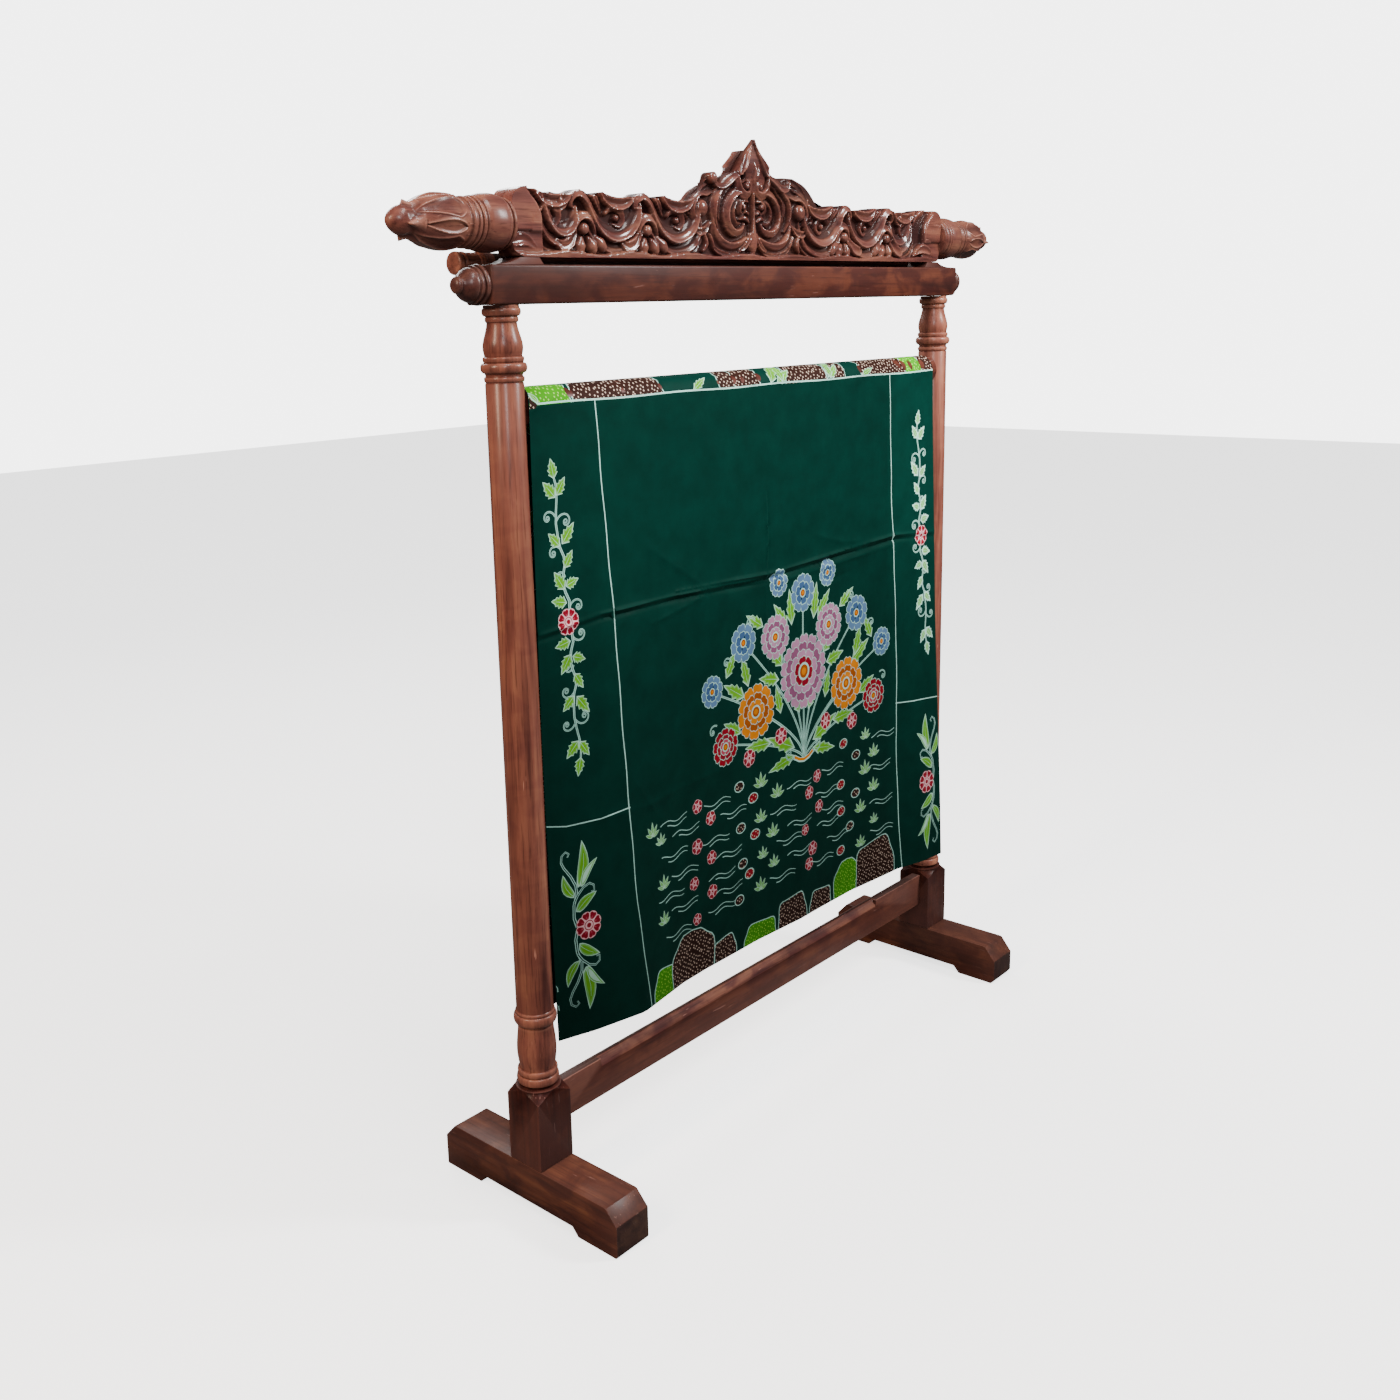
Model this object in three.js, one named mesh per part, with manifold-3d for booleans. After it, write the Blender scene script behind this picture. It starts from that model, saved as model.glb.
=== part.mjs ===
// Batik cloth over the rail of a free-standing carved wooden cloth stand.
// Millimetres, +Z up. X runs along the rail, the feet run along Y, the floor is Z = 0.
import * as THREE from "three";
import { mergeVertices } from "three/addons/utils/BufferGeometryUtils.js";
import Module from "manifold-3d";

const wasm = await Module();
wasm.setup();

// Driving sizes
const GAP = 0.3; // clearance between pieces that touch
const POST_SPACING = 1100; // between the two post axes
const POST_X = POST_SPACING / 2;
const TURNING_SIDES = 22; // sides of every turned piece

const FOOT = {
  halfLength: 188,
  width: 68,
  height: 75,
  endBevel: 23,
  archHalfWidth: 96,
  archSlope: 10,
  archHeight: 13,
};
const BLOCK_SIDE = 68;
const BLOCK_BOTTOM = FOOT.height + GAP;

const STRETCHER = {
  bottom: 126,
  top: 190,
  front: -15,
  back: 12,
  ridge: -1,
  bevelFoot: 176,
  bevelFrom: -428,
  bevelTo: 352,
};

const BEAM = { halfLength: 587, depth: 54, bottom: 1346, top: 1397, corner: 4, wornCorner: 12 };
const BEAM_AXIS_Z = (BEAM.bottom + BEAM.top) / 2;

const RAIL = { radius: 26, z: 1209.5, shaftRadius: 26.8 };
const REAR_RAIL = { radius: 14, collarRadius: 16.4, halfLength: 592, z: 1401 };

const CREST = {
  halfLength: 540,
  halfDepth: 20,
  bottom: 1407,
  top: 1493,
  corner: 22,
  scallop: 3.5,
  scallopPitch: 76,
  ornamentShift: -20,
  ornamentHalfWidth: 165,
};
const CREST_FOOT = { inner: 486, flareStart: 545, outer: 584 };
const FINIAL_AXIS_Z = 1450;

const CLOTH = {
  thickness: 1.5,
  innerRadius: 26.8,
  frontHem: 250,
  backHem: 292,
  columns: 34,
  arcRows: 10,
  frontRows: 12,
  backRows: 8,
  leftAtRail: -519,
  leftFront: -524,
  leftHem: -507,
  rightAtRail: 507,
  rightHem: 514,
  swingPower: 1.3,
};

// Height above the floor and radius up the turned post, from its square block to the beam
const POST_PROFILE = [
  { z: 0, r: 60 },
  { z: 186, r: 60 },
  { z: 186.5, r: 47.6 },
  { z: 194, r: 39 },
  { z: 202, r: 29 },
  { bead: true, from: 202, to: 218, r: 29, bulge: 2.6 },
  { z: 219, r: 28.4 },
  { z: 227, r: 29.8 },
  { z: 231, r: 26.5 },
  { z: 245, r: 29 },
  { z: 262, r: 29.6 },
  { z: 277, r: 28 },
  { z: 288, r: 26.6 },
  { z: 294, r: 28 },
  { bead: true, from: 295, to: 320, r: 28.4, bulge: 3.4 },
  { z: 323, r: 29.6 },
  { z: 334, r: 28 },
  { z: 640, r: 27.4 },
  { z: 1000, r: 27 },
  { z: 1243, r: 26.4 },
  { z: 1246, r: 27.6 },
  { z: 1251, r: 27.6 },
  { z: 1255, r: 26.4 },
  { bead: true, from: 1257, to: 1270, r: 28.4, bulge: 3.8 },
  { z: 1271, r: 28 },
  { z: 1277, r: 28 },
  { z: 1279, r: 25.4 },
  { z: 1291, r: 27.3 },
  { z: 1306, r: 24.4 },
  { z: 1322, r: 20.8 },
  { z: 1324, r: 22.4 },
  { z: 1330, r: 22.4 },
  { z: 1331, r: 24 },
  { z: 1337, r: 26.6 },
  { z: BEAM.bottom - GAP, r: 25 },
];

// Distance out from the crest's end and radius along a turned finial
const FINIAL_PROFILE = [
  { out: 0, r: 30 },
  { out: 1, r: 34 },
  { out: 5, r: 35.8 },
  { out: 9, r: 34.2 },
  { out: 20, r: 37.8 },
  { out: 34, r: 37.2 },
  { out: 46, r: 33.4 },
  { out: 52, r: 34.4 },
  { out: 58, r: 32.6 },
  { out: 66, r: 33.4 },
  { out: 75, r: 30.6 },
  { out: 88, r: 32 },
  { out: 105, r: 33.7 },
  { out: 122, r: 31.4 },
  { out: 138, r: 25.6 },
  { out: 154, r: 20.4 },
  { out: 163, r: 18.6 },
  { out: 172, r: 13.6 },
  { out: 182, r: 7 },
  { out: 191, r: 0 },
];

// Distance out from the beam's end and radius along its turned knob
const KNOB_PROFILE = [
  { out: 0, r: 25 },
  { out: 2, r: 26.8 },
  { out: 7, r: 26.8 },
  { out: 9, r: 24.6 },
  { out: 14, r: 25.2 },
  { out: 18, r: 22.6 },
  { out: 28, r: 20.6 },
  { out: 37, r: 14.4 },
  { out: 41, r: 9.6 },
  { out: 44, r: 0 },
];

// Distance in from the rear rail's end and radius of its turned end
const REAR_RAIL_PROFILE = [
  { inward: 0, r: 13 },
  { inward: 2, r: 15.8 },
  { inward: 8, r: 15.8 },
  { inward: 10, r: 13.4 },
  { inward: 12, r: 16.2 },
  { inward: 16, r: 14.4 },
  { inward: 36, r: 14.4 },
  { inward: 40, r: 16.2 },
  { inward: 46, r: REAR_RAIL.collarRadius },
  { inward: 64, r: REAR_RAIL.radius },
];

// Half the crest's middle ornament: distance from its centre line and height of its top edge
const ORNAMENT_EDGE = [
  { d: 0, z: 1587 },
  { d: 9, z: 1575 },
  { d: 21, z: 1555 },
  { d: 35, z: 1541 },
  { d: 50, z: 1534 },
  { d: 85, z: 1526 },
  { d: 112, z: 1517 },
  { d: 134, z: 1504 },
  { d: 152, z: 1493 },
];

// Across the cloth from left (0) to right (1): where each flap stands at its hem
const FLAP_SWING = [
  { across: 0, front: -4, back: 27 },
  { across: 0.06, front: -24, back: 31 },
  { across: 0.15, front: -44, back: 38 },
  { across: 0.28, front: -24, back: 33 },
  { across: 0.46, front: -21, back: 29 },
  { across: 0.58, front: -30, back: 36 },
  { across: 0.74, front: -26, back: 41 },
  { across: 0.88, front: -39, back: 34 },
  { across: 0.94, front: -57, back: 30 },
  { across: 1, front: -64, back: 29 },
];

const woodRed = { color: 0x6e3426, roughness: 0.32, metalness: 0 };
const woodDark = { color: 0x4a2018, roughness: 0.34, metalness: 0 };
const woodOrange = { color: 0x7a4327, roughness: 0.36, metalness: 0 };
const batik = { color: 0x04382f, roughness: 0.62, metalness: 0 };

const group = new THREE.Group();

function addPiece(name, geometry, finish) {
  const side = finish === batik ? THREE.DoubleSide : THREE.FrontSide;
  const material = new THREE.MeshStandardMaterial({ ...finish, side });
  const mesh = new THREE.Mesh(geometry, material);
  mesh.name = name;
  group.add(mesh);
  return mesh;
}

// A geometry with its shared corners merged and its collapsed triangles dropped
function weld(geometry) {
  const bare = geometry.clone();
  bare.deleteAttribute("normal");
  bare.deleteAttribute("uv");
  const merged = mergeVertices(bare, 1e-4);
  const index = merged.index.array;
  const kept = [];
  for (let i = 0; i < index.length; i += 3) {
    const [a, b, c] = [index[i], index[i + 1], index[i + 2]];
    if (a !== b && b !== c && c !== a) kept.push(a, b, c);
  }
  merged.setIndex(kept);
  return merged;
}

function toManifold(geometry) {
  const welded = weld(geometry);
  return new wasm.Manifold(
    new wasm.Mesh({
      numProp: 3,
      vertProperties: new Float32Array(welded.attributes.position.array),
      triVerts: new Uint32Array(welded.index.array),
    }),
  );
}

function fromManifold(solid) {
  const mesh = solid.getMesh();
  const geometry = new THREE.BufferGeometry();
  geometry.setAttribute("position", new THREE.BufferAttribute(mesh.vertProperties, 3));
  geometry.setIndex(new THREE.BufferAttribute(mesh.triVerts, 1));
  geometry.computeVertexNormals();
  return geometry;
}

// Linear reading of a table at x, by the named columns
function readTable(table, x, key, value) {
  let i = 1;
  while (i < table.length - 1 && table[i][key] < x) i += 1;
  const [a, b] = [table[i - 1], table[i]];
  const t = THREE.MathUtils.clamp((x - a[key]) / (b[key] - a[key]), 0, 1);
  return a[value] + (b[value] - a[value]) * t;
}

// A prism whose outline is drawn in Y (across) and Z (up), from x0 to x1
function prismAlongX(shape, x0, x1) {
  const geometry = new THREE.ExtrudeGeometry(shape, { depth: x1 - x0, bevelEnabled: false });
  const turn = new THREE.Matrix4().makeBasis(
    new THREE.Vector3(0, 1, 0),
    new THREE.Vector3(0, 0, 1),
    new THREE.Vector3(1, 0, 0),
  );
  return geometry.applyMatrix4(turn).translate(x0, 0, 0);
}

// A prism whose outline is drawn in X (across) and Z (up), centred on y
function prismAlongY(shape, depth, y = 0) {
  const geometry = new THREE.ExtrudeGeometry(shape, { depth, bevelEnabled: false, curveSegments: 5 });
  const turn = new THREE.Matrix4().makeBasis(
    new THREE.Vector3(1, 0, 0),
    new THREE.Vector3(0, 0, 1),
    new THREE.Vector3(0, -1, 0),
  );
  return geometry.applyMatrix4(turn).translate(0, y + depth / 2, 0);
}

function outline(points) {
  return new THREE.Shape(points.map(([a, b]) => new THREE.Vector2(a, b)));
}

// Profile points of a turning, each bead worked out as a half round
function turningPoints(profile) {
  const beadSteps = 4;
  return profile.flatMap((step) => {
    if (!step.bead) return [new THREE.Vector2(step.r, step.z)];
    const middle = (step.from + step.to) / 2;
    const half = (step.to - step.from) / 2;
    return Array.from({ length: beadSteps + 1 }, (_, i) => {
      const angle = (i / beadSteps - 0.5) * Math.PI;
      const radius = step.r + step.bulge * Math.cos(angle);
      return new THREE.Vector2(radius, middle + half * Math.sin(angle));
    });
  });
}

// A turned solid about the Z axis, closed on the axis at both ends
function lathe(points) {
  const first = new THREE.Vector2(0, points[0].y);
  const last = new THREE.Vector2(0, points[points.length - 1].y);
  const closed = [first, ...points.filter((p) => p.x > 0), last];
  return weld(new THREE.LatheGeometry(closed, TURNING_SIDES)).rotateX(Math.PI / 2);
}

// A turned solid that points along +X (side = 1) or -X (side = -1) from x0
function turnedOutward(profile, side, x0, z) {
  const points = profile.map((step) => new THREE.Vector2(step.r, step.out));
  const solid = lathe(points).rotateY((side * Math.PI) / 2);
  solid.translate(x0, 0, z);
  solid.computeVertexNormals();
  return solid;
}

function buildFoot(name, x) {
  const { halfLength, height, endBevel, archHalfWidth, archSlope, archHeight, width } = FOOT;
  const half = [
    [archHalfWidth, archHeight],
    [archHalfWidth + archSlope, 0],
    [halfLength, 0],
    [halfLength, height - endBevel],
    [halfLength - endBevel, height],
  ];
  const mirrored = half.map(([y, z]) => [-y, z]).reverse();
  addPiece(name, prismAlongX(outline([...half, ...mirrored]), x - width / 2, x + width / 2), woodOrange);
}

// A square stock turned down above its block: the square prism met with the turning
function buildPost(name, x) {
  const height = BEAM.bottom - GAP - BLOCK_BOTTOM;
  const stock = new THREE.BoxGeometry(BLOCK_SIDE, BLOCK_SIDE, height);
  stock.translate(0, 0, BLOCK_BOTTOM + height / 2);
  const turned = toManifold(lathe(turningPoints(POST_PROFILE)));
  const post = fromManifold(toManifold(stock).intersect(turned));
  addPiece(name, post.translate(x, 0, 0), woodRed);
}

function buildStretcher() {
  const { bottom, top, front, back, ridge, bevelFoot, bevelFrom, bevelTo } = STRETCHER;
  const end = POST_X - BLOCK_SIDE / 2 - GAP;
  const section = outline([
    [front, bottom],
    [back, bottom],
    [back, bevelFoot],
    [ridge, top],
    [front, top],
  ]);
  const past = 5;
  const slope = (top - bevelFoot) / (ridge - 1 - front);
  const waste = outline([
    [front - past, bevelFoot - past * slope],
    [ridge - 1 + past, top + past * slope],
    [front - past, top + past * slope],
  ]);
  const bar = toManifold(prismAlongX(section, -end, end));
  const cut = toManifold(prismAlongX(waste, bevelFrom, bevelTo));
  addPiece("stretcher", fromManifold(bar.subtract(cut)), woodRed);
}

function buildBeam() {
  const { halfLength, depth, bottom, top, corner, wornCorner } = BEAM;
  const shape = new THREE.Shape();
  shape.moveTo(-halfLength + corner, bottom);
  shape.lineTo(halfLength - wornCorner, bottom);
  shape.absarc(halfLength - wornCorner, bottom + wornCorner, wornCorner, -Math.PI / 2, 0);
  shape.lineTo(halfLength, top - corner);
  shape.lineTo(halfLength - corner, top);
  shape.lineTo(-halfLength + corner, top);
  shape.lineTo(-halfLength, top - corner);
  shape.lineTo(-halfLength, bottom + corner);
  addPiece("top_beam", prismAlongY(shape, depth), woodDark);
}

// The cloth rail, its ends hollowed to fit round the posts
function buildClothRail() {
  const shaft = new THREE.CylinderGeometry(RAIL.radius, RAIL.radius, POST_SPACING, TURNING_SIDES);
  let rail = toManifold(shaft.rotateZ(Math.PI / 2).translate(0, 0, RAIL.z));
  const socketHeight = 120;
  for (const x of [-POST_X, POST_X]) {
    const radius = RAIL.shaftRadius + GAP;
    const post = new THREE.CylinderGeometry(radius, radius, socketHeight, 2 * TURNING_SIDES);
    rail = rail.subtract(toManifold(post.rotateX(Math.PI / 2).translate(x, 0, RAIL.z)));
  }
  const pieces = rail.decompose().sort((a, b) => b.volume() - a.volume());
  addPiece("cloth_rail", fromManifold(pieces[0]), woodRed);
}

function buildRearRail() {
  const { halfLength, collarRadius, z } = REAR_RAIL;
  const left = REAR_RAIL_PROFILE.map((step) => new THREE.Vector2(step.r, step.inward - halfLength));
  const right = left.map((p) => new THREE.Vector2(p.x, -p.y)).reverse();
  const rail = lathe([...left, ...right]).rotateY(Math.PI / 2);
  const reach = collarRadius * Math.cos(Math.PI / TURNING_SIDES);
  rail.translate(0, BEAM.depth / 2 + reach + GAP, z);
  rail.computeVertexNormals();
  addPiece("rear_rail", rail, woodOrange);
}

// The crest's feet: short blocks between beam and crest that flare out to the beam's end
function buildCrestFoot(name, side) {
  const { inner, flareStart, outer } = CREST_FOOT;
  const low = BEAM.top + GAP;
  const high = CREST.bottom - GAP;
  const shape = new THREE.Shape();
  shape.moveTo(side * inner, low);
  shape.lineTo(side * outer, low);
  shape.quadraticCurveTo(side * flareStart, low + 2, side * (flareStart - 16), high);
  shape.lineTo(side * (inner + 8), high);
  addPiece(name, prismAlongY(shape, CREST.halfDepth * 2), woodRed);
}

function crestTopEdge(x) {
  const d = Math.abs(x - CREST.ornamentShift);
  if (d < CREST.ornamentHalfWidth) {
    return Math.max(readTable(ORNAMENT_EDGE, d, "d", "z"), CREST.top - CREST.scallop);
  }
  const wave = Math.cos(((d - CREST.ornamentHalfWidth) / CREST.scallopPitch) * 2 * Math.PI);
  return CREST.top - CREST.scallop * wave;
}

function buildCrest() {
  const { halfLength, bottom, corner, halfDepth, scallopPitch, top } = CREST;
  const [x0, x1] = [-halfLength, halfLength];
  const shape = new THREE.Shape();
  shape.moveTo(x0 + corner, bottom);
  shape.lineTo(x1 - corner, bottom);
  shape.absarc(x1 - corner, bottom + corner, corner, -Math.PI / 2, 0);
  shape.lineTo(x1, top - corner);
  shape.lineTo(x1 - corner / 3, top - corner / 3);
  const edge = new Set();
  for (let x = x1 - corner; x > x0 + corner; x -= scallopPitch / 4) edge.add(x);
  for (const { d } of ORNAMENT_EDGE) {
    edge.add(CREST.ornamentShift + d);
    edge.add(CREST.ornamentShift - d);
  }
  for (const x of [...edge].sort((a, b) => b - a)) shape.lineTo(x, crestTopEdge(x));
  shape.lineTo(x0 + corner / 3, top - corner / 3);
  shape.lineTo(x0, top - corner);
  shape.lineTo(x0, bottom + corner);
  shape.absarc(x0 + corner, bottom + corner, corner, Math.PI, Math.PI * 1.5);
  addPiece("crest", prismAlongY(shape, halfDepth * 2), woodRed);
}

// One row of the cloth's middle surface per entry: front hem, up, over the rail, down, back hem
function clothRows() {
  const radius = CLOTH.innerRadius + CLOTH.thickness / 2;
  const rows = [];
  for (let i = 0; i < CLOTH.frontRows; i += 1) {
    rows.push({ side: "front", drop: (1 - i / CLOTH.frontRows) ** 1.15 });
  }
  for (let i = 0; i <= CLOTH.arcRows; i += 1) {
    rows.push({ side: "arc", angle: (i / CLOTH.arcRows) * Math.PI });
  }
  for (let i = 1; i <= CLOTH.backRows; i += 1) {
    rows.push({ side: "back", drop: (i / CLOTH.backRows) ** 1.15 });
  }
  return rows.map((row) => (across) => clothPoint(row, across, radius));
}

function clothPoint(row, across, radius) {
  const { leftAtRail, leftFront, leftHem, rightAtRail, rightHem, swingPower } = CLOTH;
  if (row.side === "arc") {
    const lean = Math.cos(row.angle) ** 2;
    const left = row.angle < Math.PI / 2 ? leftAtRail + (leftFront - leftAtRail) * lean : leftAtRail;
    const x = left + (rightAtRail - left) * across;
    return new THREE.Vector3(x, -radius * Math.cos(row.angle), RAIL.z + radius * Math.sin(row.angle));
  }
  const front = row.side === "front";
  const hem = front ? CLOTH.frontHem : CLOTH.backHem;
  const top = front ? leftFront : leftAtRail;
  const left = top + ((front ? leftHem : leftAtRail) - top) * row.drop;
  const right = rightAtRail + (rightHem - rightAtRail) * row.drop;
  const rest = front ? -radius : radius;
  const swing = readTable(FLAP_SWING, across, "across", row.side);
  const y = rest + (swing - rest) * row.drop ** swingPower;
  return new THREE.Vector3(left + (right - left) * across, y, RAIL.z + (hem - RAIL.z) * row.drop);
}

// A closed sheet: the middle surface moved half the thickness to either side, with its rim
function buildCloth() {
  const rows = clothRows();
  const { columns, thickness } = CLOTH;
  const middle = rows.map((at) => Array.from({ length: columns + 1 }, (_, j) => at(j / columns)));
  const rowCount = rows.length;
  const sides = [1, -1].map((sign) =>
    middle.map((row, i) =>
      row.map((point, j) => {
        const along = middle[Math.min(i + 1, rowCount - 1)][j].clone();
        along.sub(middle[Math.max(i - 1, 0)][j]);
        const across = row[Math.min(j + 1, columns)].clone().sub(row[Math.max(j - 1, 0)]);
        const normal = across.cross(along).normalize();
        return point.clone().addScaledVector(normal, (sign * thickness) / 2);
      }),
    ),
  );
  const positions = sides.flat(2).flatMap((p) => [p.x, p.y, p.z]);
  const index = [];
  const vertex = (side, i, j) => (side * rowCount + i) * (columns + 1) + j;
  const quad = (a, b, c, d) => index.push(a, b, c, a, c, d);
  for (let i = 0; i < rowCount - 1; i += 1) {
    for (let j = 0; j < columns; j += 1) {
      quad(vertex(0, i, j), vertex(0, i, j + 1), vertex(0, i + 1, j + 1), vertex(0, i + 1, j));
      quad(vertex(1, i, j), vertex(1, i + 1, j), vertex(1, i + 1, j + 1), vertex(1, i, j + 1));
    }
    quad(vertex(0, i, 0), vertex(0, i + 1, 0), vertex(1, i + 1, 0), vertex(1, i, 0));
    const end = columns;
    quad(vertex(0, i, end), vertex(1, i, end), vertex(1, i + 1, end), vertex(0, i + 1, end));
  }
  for (let j = 0; j < columns; j += 1) {
    const last = rowCount - 1;
    quad(vertex(0, 0, j), vertex(1, 0, j), vertex(1, 0, j + 1), vertex(0, 0, j + 1));
    quad(vertex(0, last, j), vertex(0, last, j + 1), vertex(1, last, j + 1), vertex(1, last, j));
  }
  const geometry = new THREE.BufferGeometry();
  geometry.setAttribute("position", new THREE.Float32BufferAttribute(positions, 3));
  geometry.setIndex(index);
  geometry.computeVertexNormals();
  addPiece("batik_cloth", geometry, batik);
}

const SIDES = [
  { word: "left", side: -1 },
  { word: "right", side: 1 },
];
for (const { word, side } of SIDES) {
  buildFoot(`foot_${word}`, side * POST_X);
  buildPost(`post_${word}`, side * POST_X);
  buildCrestFoot(`crest_foot_${word}`, side);
  const beamEnd = side * (BEAM.halfLength + GAP);
  addPiece(`knob_${word}`, turnedOutward(KNOB_PROFILE, side, beamEnd, BEAM_AXIS_Z), woodDark);
  const crestEnd = side * (CREST.halfLength + GAP);
  addPiece(`finial_${word}`, turnedOutward(FINIAL_PROFILE, side, crestEnd, FINIAL_AXIS_Z), woodRed);
}
buildStretcher();
buildBeam();
buildClothRail();
buildRearRail();
buildCrest();
buildCloth();

export default group;
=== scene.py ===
"""A dark green batik cloth draped over the rail of a carved and turned wooden stand."""

import math
import random

import bpy
import numpy as np
from bpy.props import FloatProperty, FloatVectorProperty, IntProperty, PointerProperty
from mathutils import Matrix, Vector
from mathutils.geometry import delaunay_2d_cdt


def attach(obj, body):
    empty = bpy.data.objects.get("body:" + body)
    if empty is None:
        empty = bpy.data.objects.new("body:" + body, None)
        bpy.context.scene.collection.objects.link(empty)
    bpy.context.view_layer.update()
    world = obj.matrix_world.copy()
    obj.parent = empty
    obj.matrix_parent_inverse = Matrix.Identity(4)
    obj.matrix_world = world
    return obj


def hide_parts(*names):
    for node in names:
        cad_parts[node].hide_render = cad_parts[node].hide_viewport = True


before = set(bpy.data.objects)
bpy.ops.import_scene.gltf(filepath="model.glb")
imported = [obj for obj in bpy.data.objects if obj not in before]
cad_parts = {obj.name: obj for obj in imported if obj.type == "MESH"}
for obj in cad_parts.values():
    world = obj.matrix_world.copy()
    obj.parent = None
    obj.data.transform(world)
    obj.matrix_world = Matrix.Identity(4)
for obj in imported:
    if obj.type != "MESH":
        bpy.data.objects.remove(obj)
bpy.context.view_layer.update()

bl_info = {
    "name": "Batik cloth on a carved stand",
    "version": (1, 0, 0),
    "blender": (4, 5, 0),
    "location": "View3D > Sidebar > Batik stand",
    "description": "Builds a batik cloth over the rail of a carved and turned cloth stand",
    "category": "Add Mesh",
}

MM = 0.001
JOINT_GAP = 0.3

POST_X = 550.0
BLOCK = {"side": 68.0, "bottom": 75.3, "top": 206.0}
BEAM = {"half": 587.0, "depth": 54.0, "bottom": 1346.0, "top": 1397.0}
RAIL = {"radius": 26.0, "z": 1209.5}
REAR_RAIL = {"half": 592.0, "y": 43.5, "z": 1401.0}
CREST = {"half": 540.0, "depth": 20.0, "bottom": 1407.0, "axis": 1450.0}

# Height up the post and radius. "bead" is a half round out to the given bulge,
# "cove" a half round cut in, "sweep" a smooth swelling through its points
POST_TURNING = [
    ("to", 196.0, 31.0),
    ("to", 201.5, 29.0),
    ("cove", 206.0, 29.6, 1.2),
    ("bead", 219.0, 29.4, 2.6),
    ("to", 219.8, 28.2),
    ("bead", 229.0, 28.6, 2.0),
    ("to", 229.8, 27.2),
    ("sweep", [(231.5, 26.9), (240.0, 28.2), (252.0, 29.5), (264.0, 29.7), (278.0, 28.6), (290.0, 27.2),
               (298.0, 26.9)]),
    ("cove", 303.0, 28.6, 1.2),
    ("bead", 318.5, 29.2, 3.6),
    ("to", 319.2, 28.9),
    ("bead", 323.2, 28.9, 0.8),
    ("to", 324.2, 28.0),
    ("to", 640.0, 27.5),
    ("to", 1000.0, 27.0),
    ("to", 1242.0, 26.4),
    ("to", 1243.4, 25.6),
    ("to", 1244.6, 25.6),
    ("bead", 1251.4, 26.4, 1.5),
    ("cove", 1256.6, 27.4, 1.4),
    ("bead", 1269.8, 28.0, 4.0),
    ("to", 1270.2, 26.9),
    ("to", 1271.2, 26.9),
    ("bead", 1277.6, 27.4, 0.9),
    ("to", 1278.4, 25.6),
    ("sweep", [(1280.0, 25.7), (1285.5, 27.0), (1292.0, 27.3), (1300.0, 25.9), (1310.0, 23.0),
               (1320.0, 20.8)]),
    ("to", 1322.6, 20.5),
    ("to", 1323.6, 21.6),
    ("bead", 1329.8, 21.8, 0.9),
    ("to", 1330.6, 21.6),
    ("to", 1331.6, 23.6),
    ("bead", 1341.6, 24.4, 2.4),
    ("to", 1345.7, 24.2),
]

# Distance out from the beam's end and radius of its turned knob
KNOB_TURNING = [
    ("to", 0.0, 24.6),
    ("bead", 6.6, 25.0, 1.8),
    ("to", 7.4, 23.2),
    ("to", 8.6, 23.2),
    ("bead", 14.0, 24.2, 1.0),
    ("cove", 16.6, 22.4, 0.8),
    ("sweep", [(17.6, 22.6), (22.0, 21.6), (27.0, 18.8), (31.0, 15.2), (34.0, 12.4), (36.2, 11.2)]),
    ("sweep", [(36.6, 11.6), (39.2, 11.0), (41.8, 8.8), (43.4, 5.2), (44.0, 0.0)]),
]

# Distance out from the crest's end and radius of the finial, up to its carved bud
FINIAL_TURNING = [
    ("to", 0.0, 29.0),
    ("bead", 7.6, 32.6, 2.8),
    ("to", 8.2, 31.4),
    ("to", 9.4, 31.4),
    ("bead", 15.4, 34.6, 1.8),
    ("sweep", [(16.4, 36.4), (24.0, 37.6), (36.0, 37.6), (46.0, 36.2), (52.0, 34.0)]),
    ("to", 53.0, 32.4),
    ("to", 54.2, 32.4),
    ("bead", 60.0, 33.0, 1.5),
    ("to", 60.6, 31.6),
    ("to", 61.6, 31.6),
    ("bead", 66.4, 32.0, 1.2),
    ("cove", 70.0, 32.0, 1.2),
    ("bead", 76.0, 31.8, 0.9),
    ("to", 77.0, 30.6),
    ("sweep", [(79.0, 30.2), (84.0, 31.6), (91.0, 33.6), (98.0, 34.5), (106.0, 35.0), (114.0, 35.0),
               (121.0, 34.3), (129.0, 32.8), (137.0, 30.4), (144.0, 27.6), (150.0, 24.8), (155.0, 21.8),
               (159.0, 19.6), (164.0, 19.2), (170.0, 18.8), (175.5, 17.2), (180.0, 14.8), (184.0, 11.8),
               (187.5, 8.2), (190.0, 4.2), (191.0, 0.0)]),
]

BUD_START = 78.0

# Distance in from the rear rail's end and radius
REAR_RAIL_TURNING = [
    ("to", 0.0, 12.6),
    ("to", 0.8, 14.6),
    ("bead", 8.0, 14.8, 0.9),
    ("to", 8.8, 13.2),
    ("to", 10.4, 13.2),
    ("bead", 15.6, 14.9, 1.2),
    ("to", 16.4, 14.2),
    ("to", 36.0, 14.2),
    ("to", 37.0, 13.2),
    ("bead", 41.6, 15.0, 1.1),
    ("bead", 50.0, 15.2, 1.1),
    ("sweep", [(51.0, 15.4), (56.0, 14.6), (64.0, 13.8)]),
]


# Finishes


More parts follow.
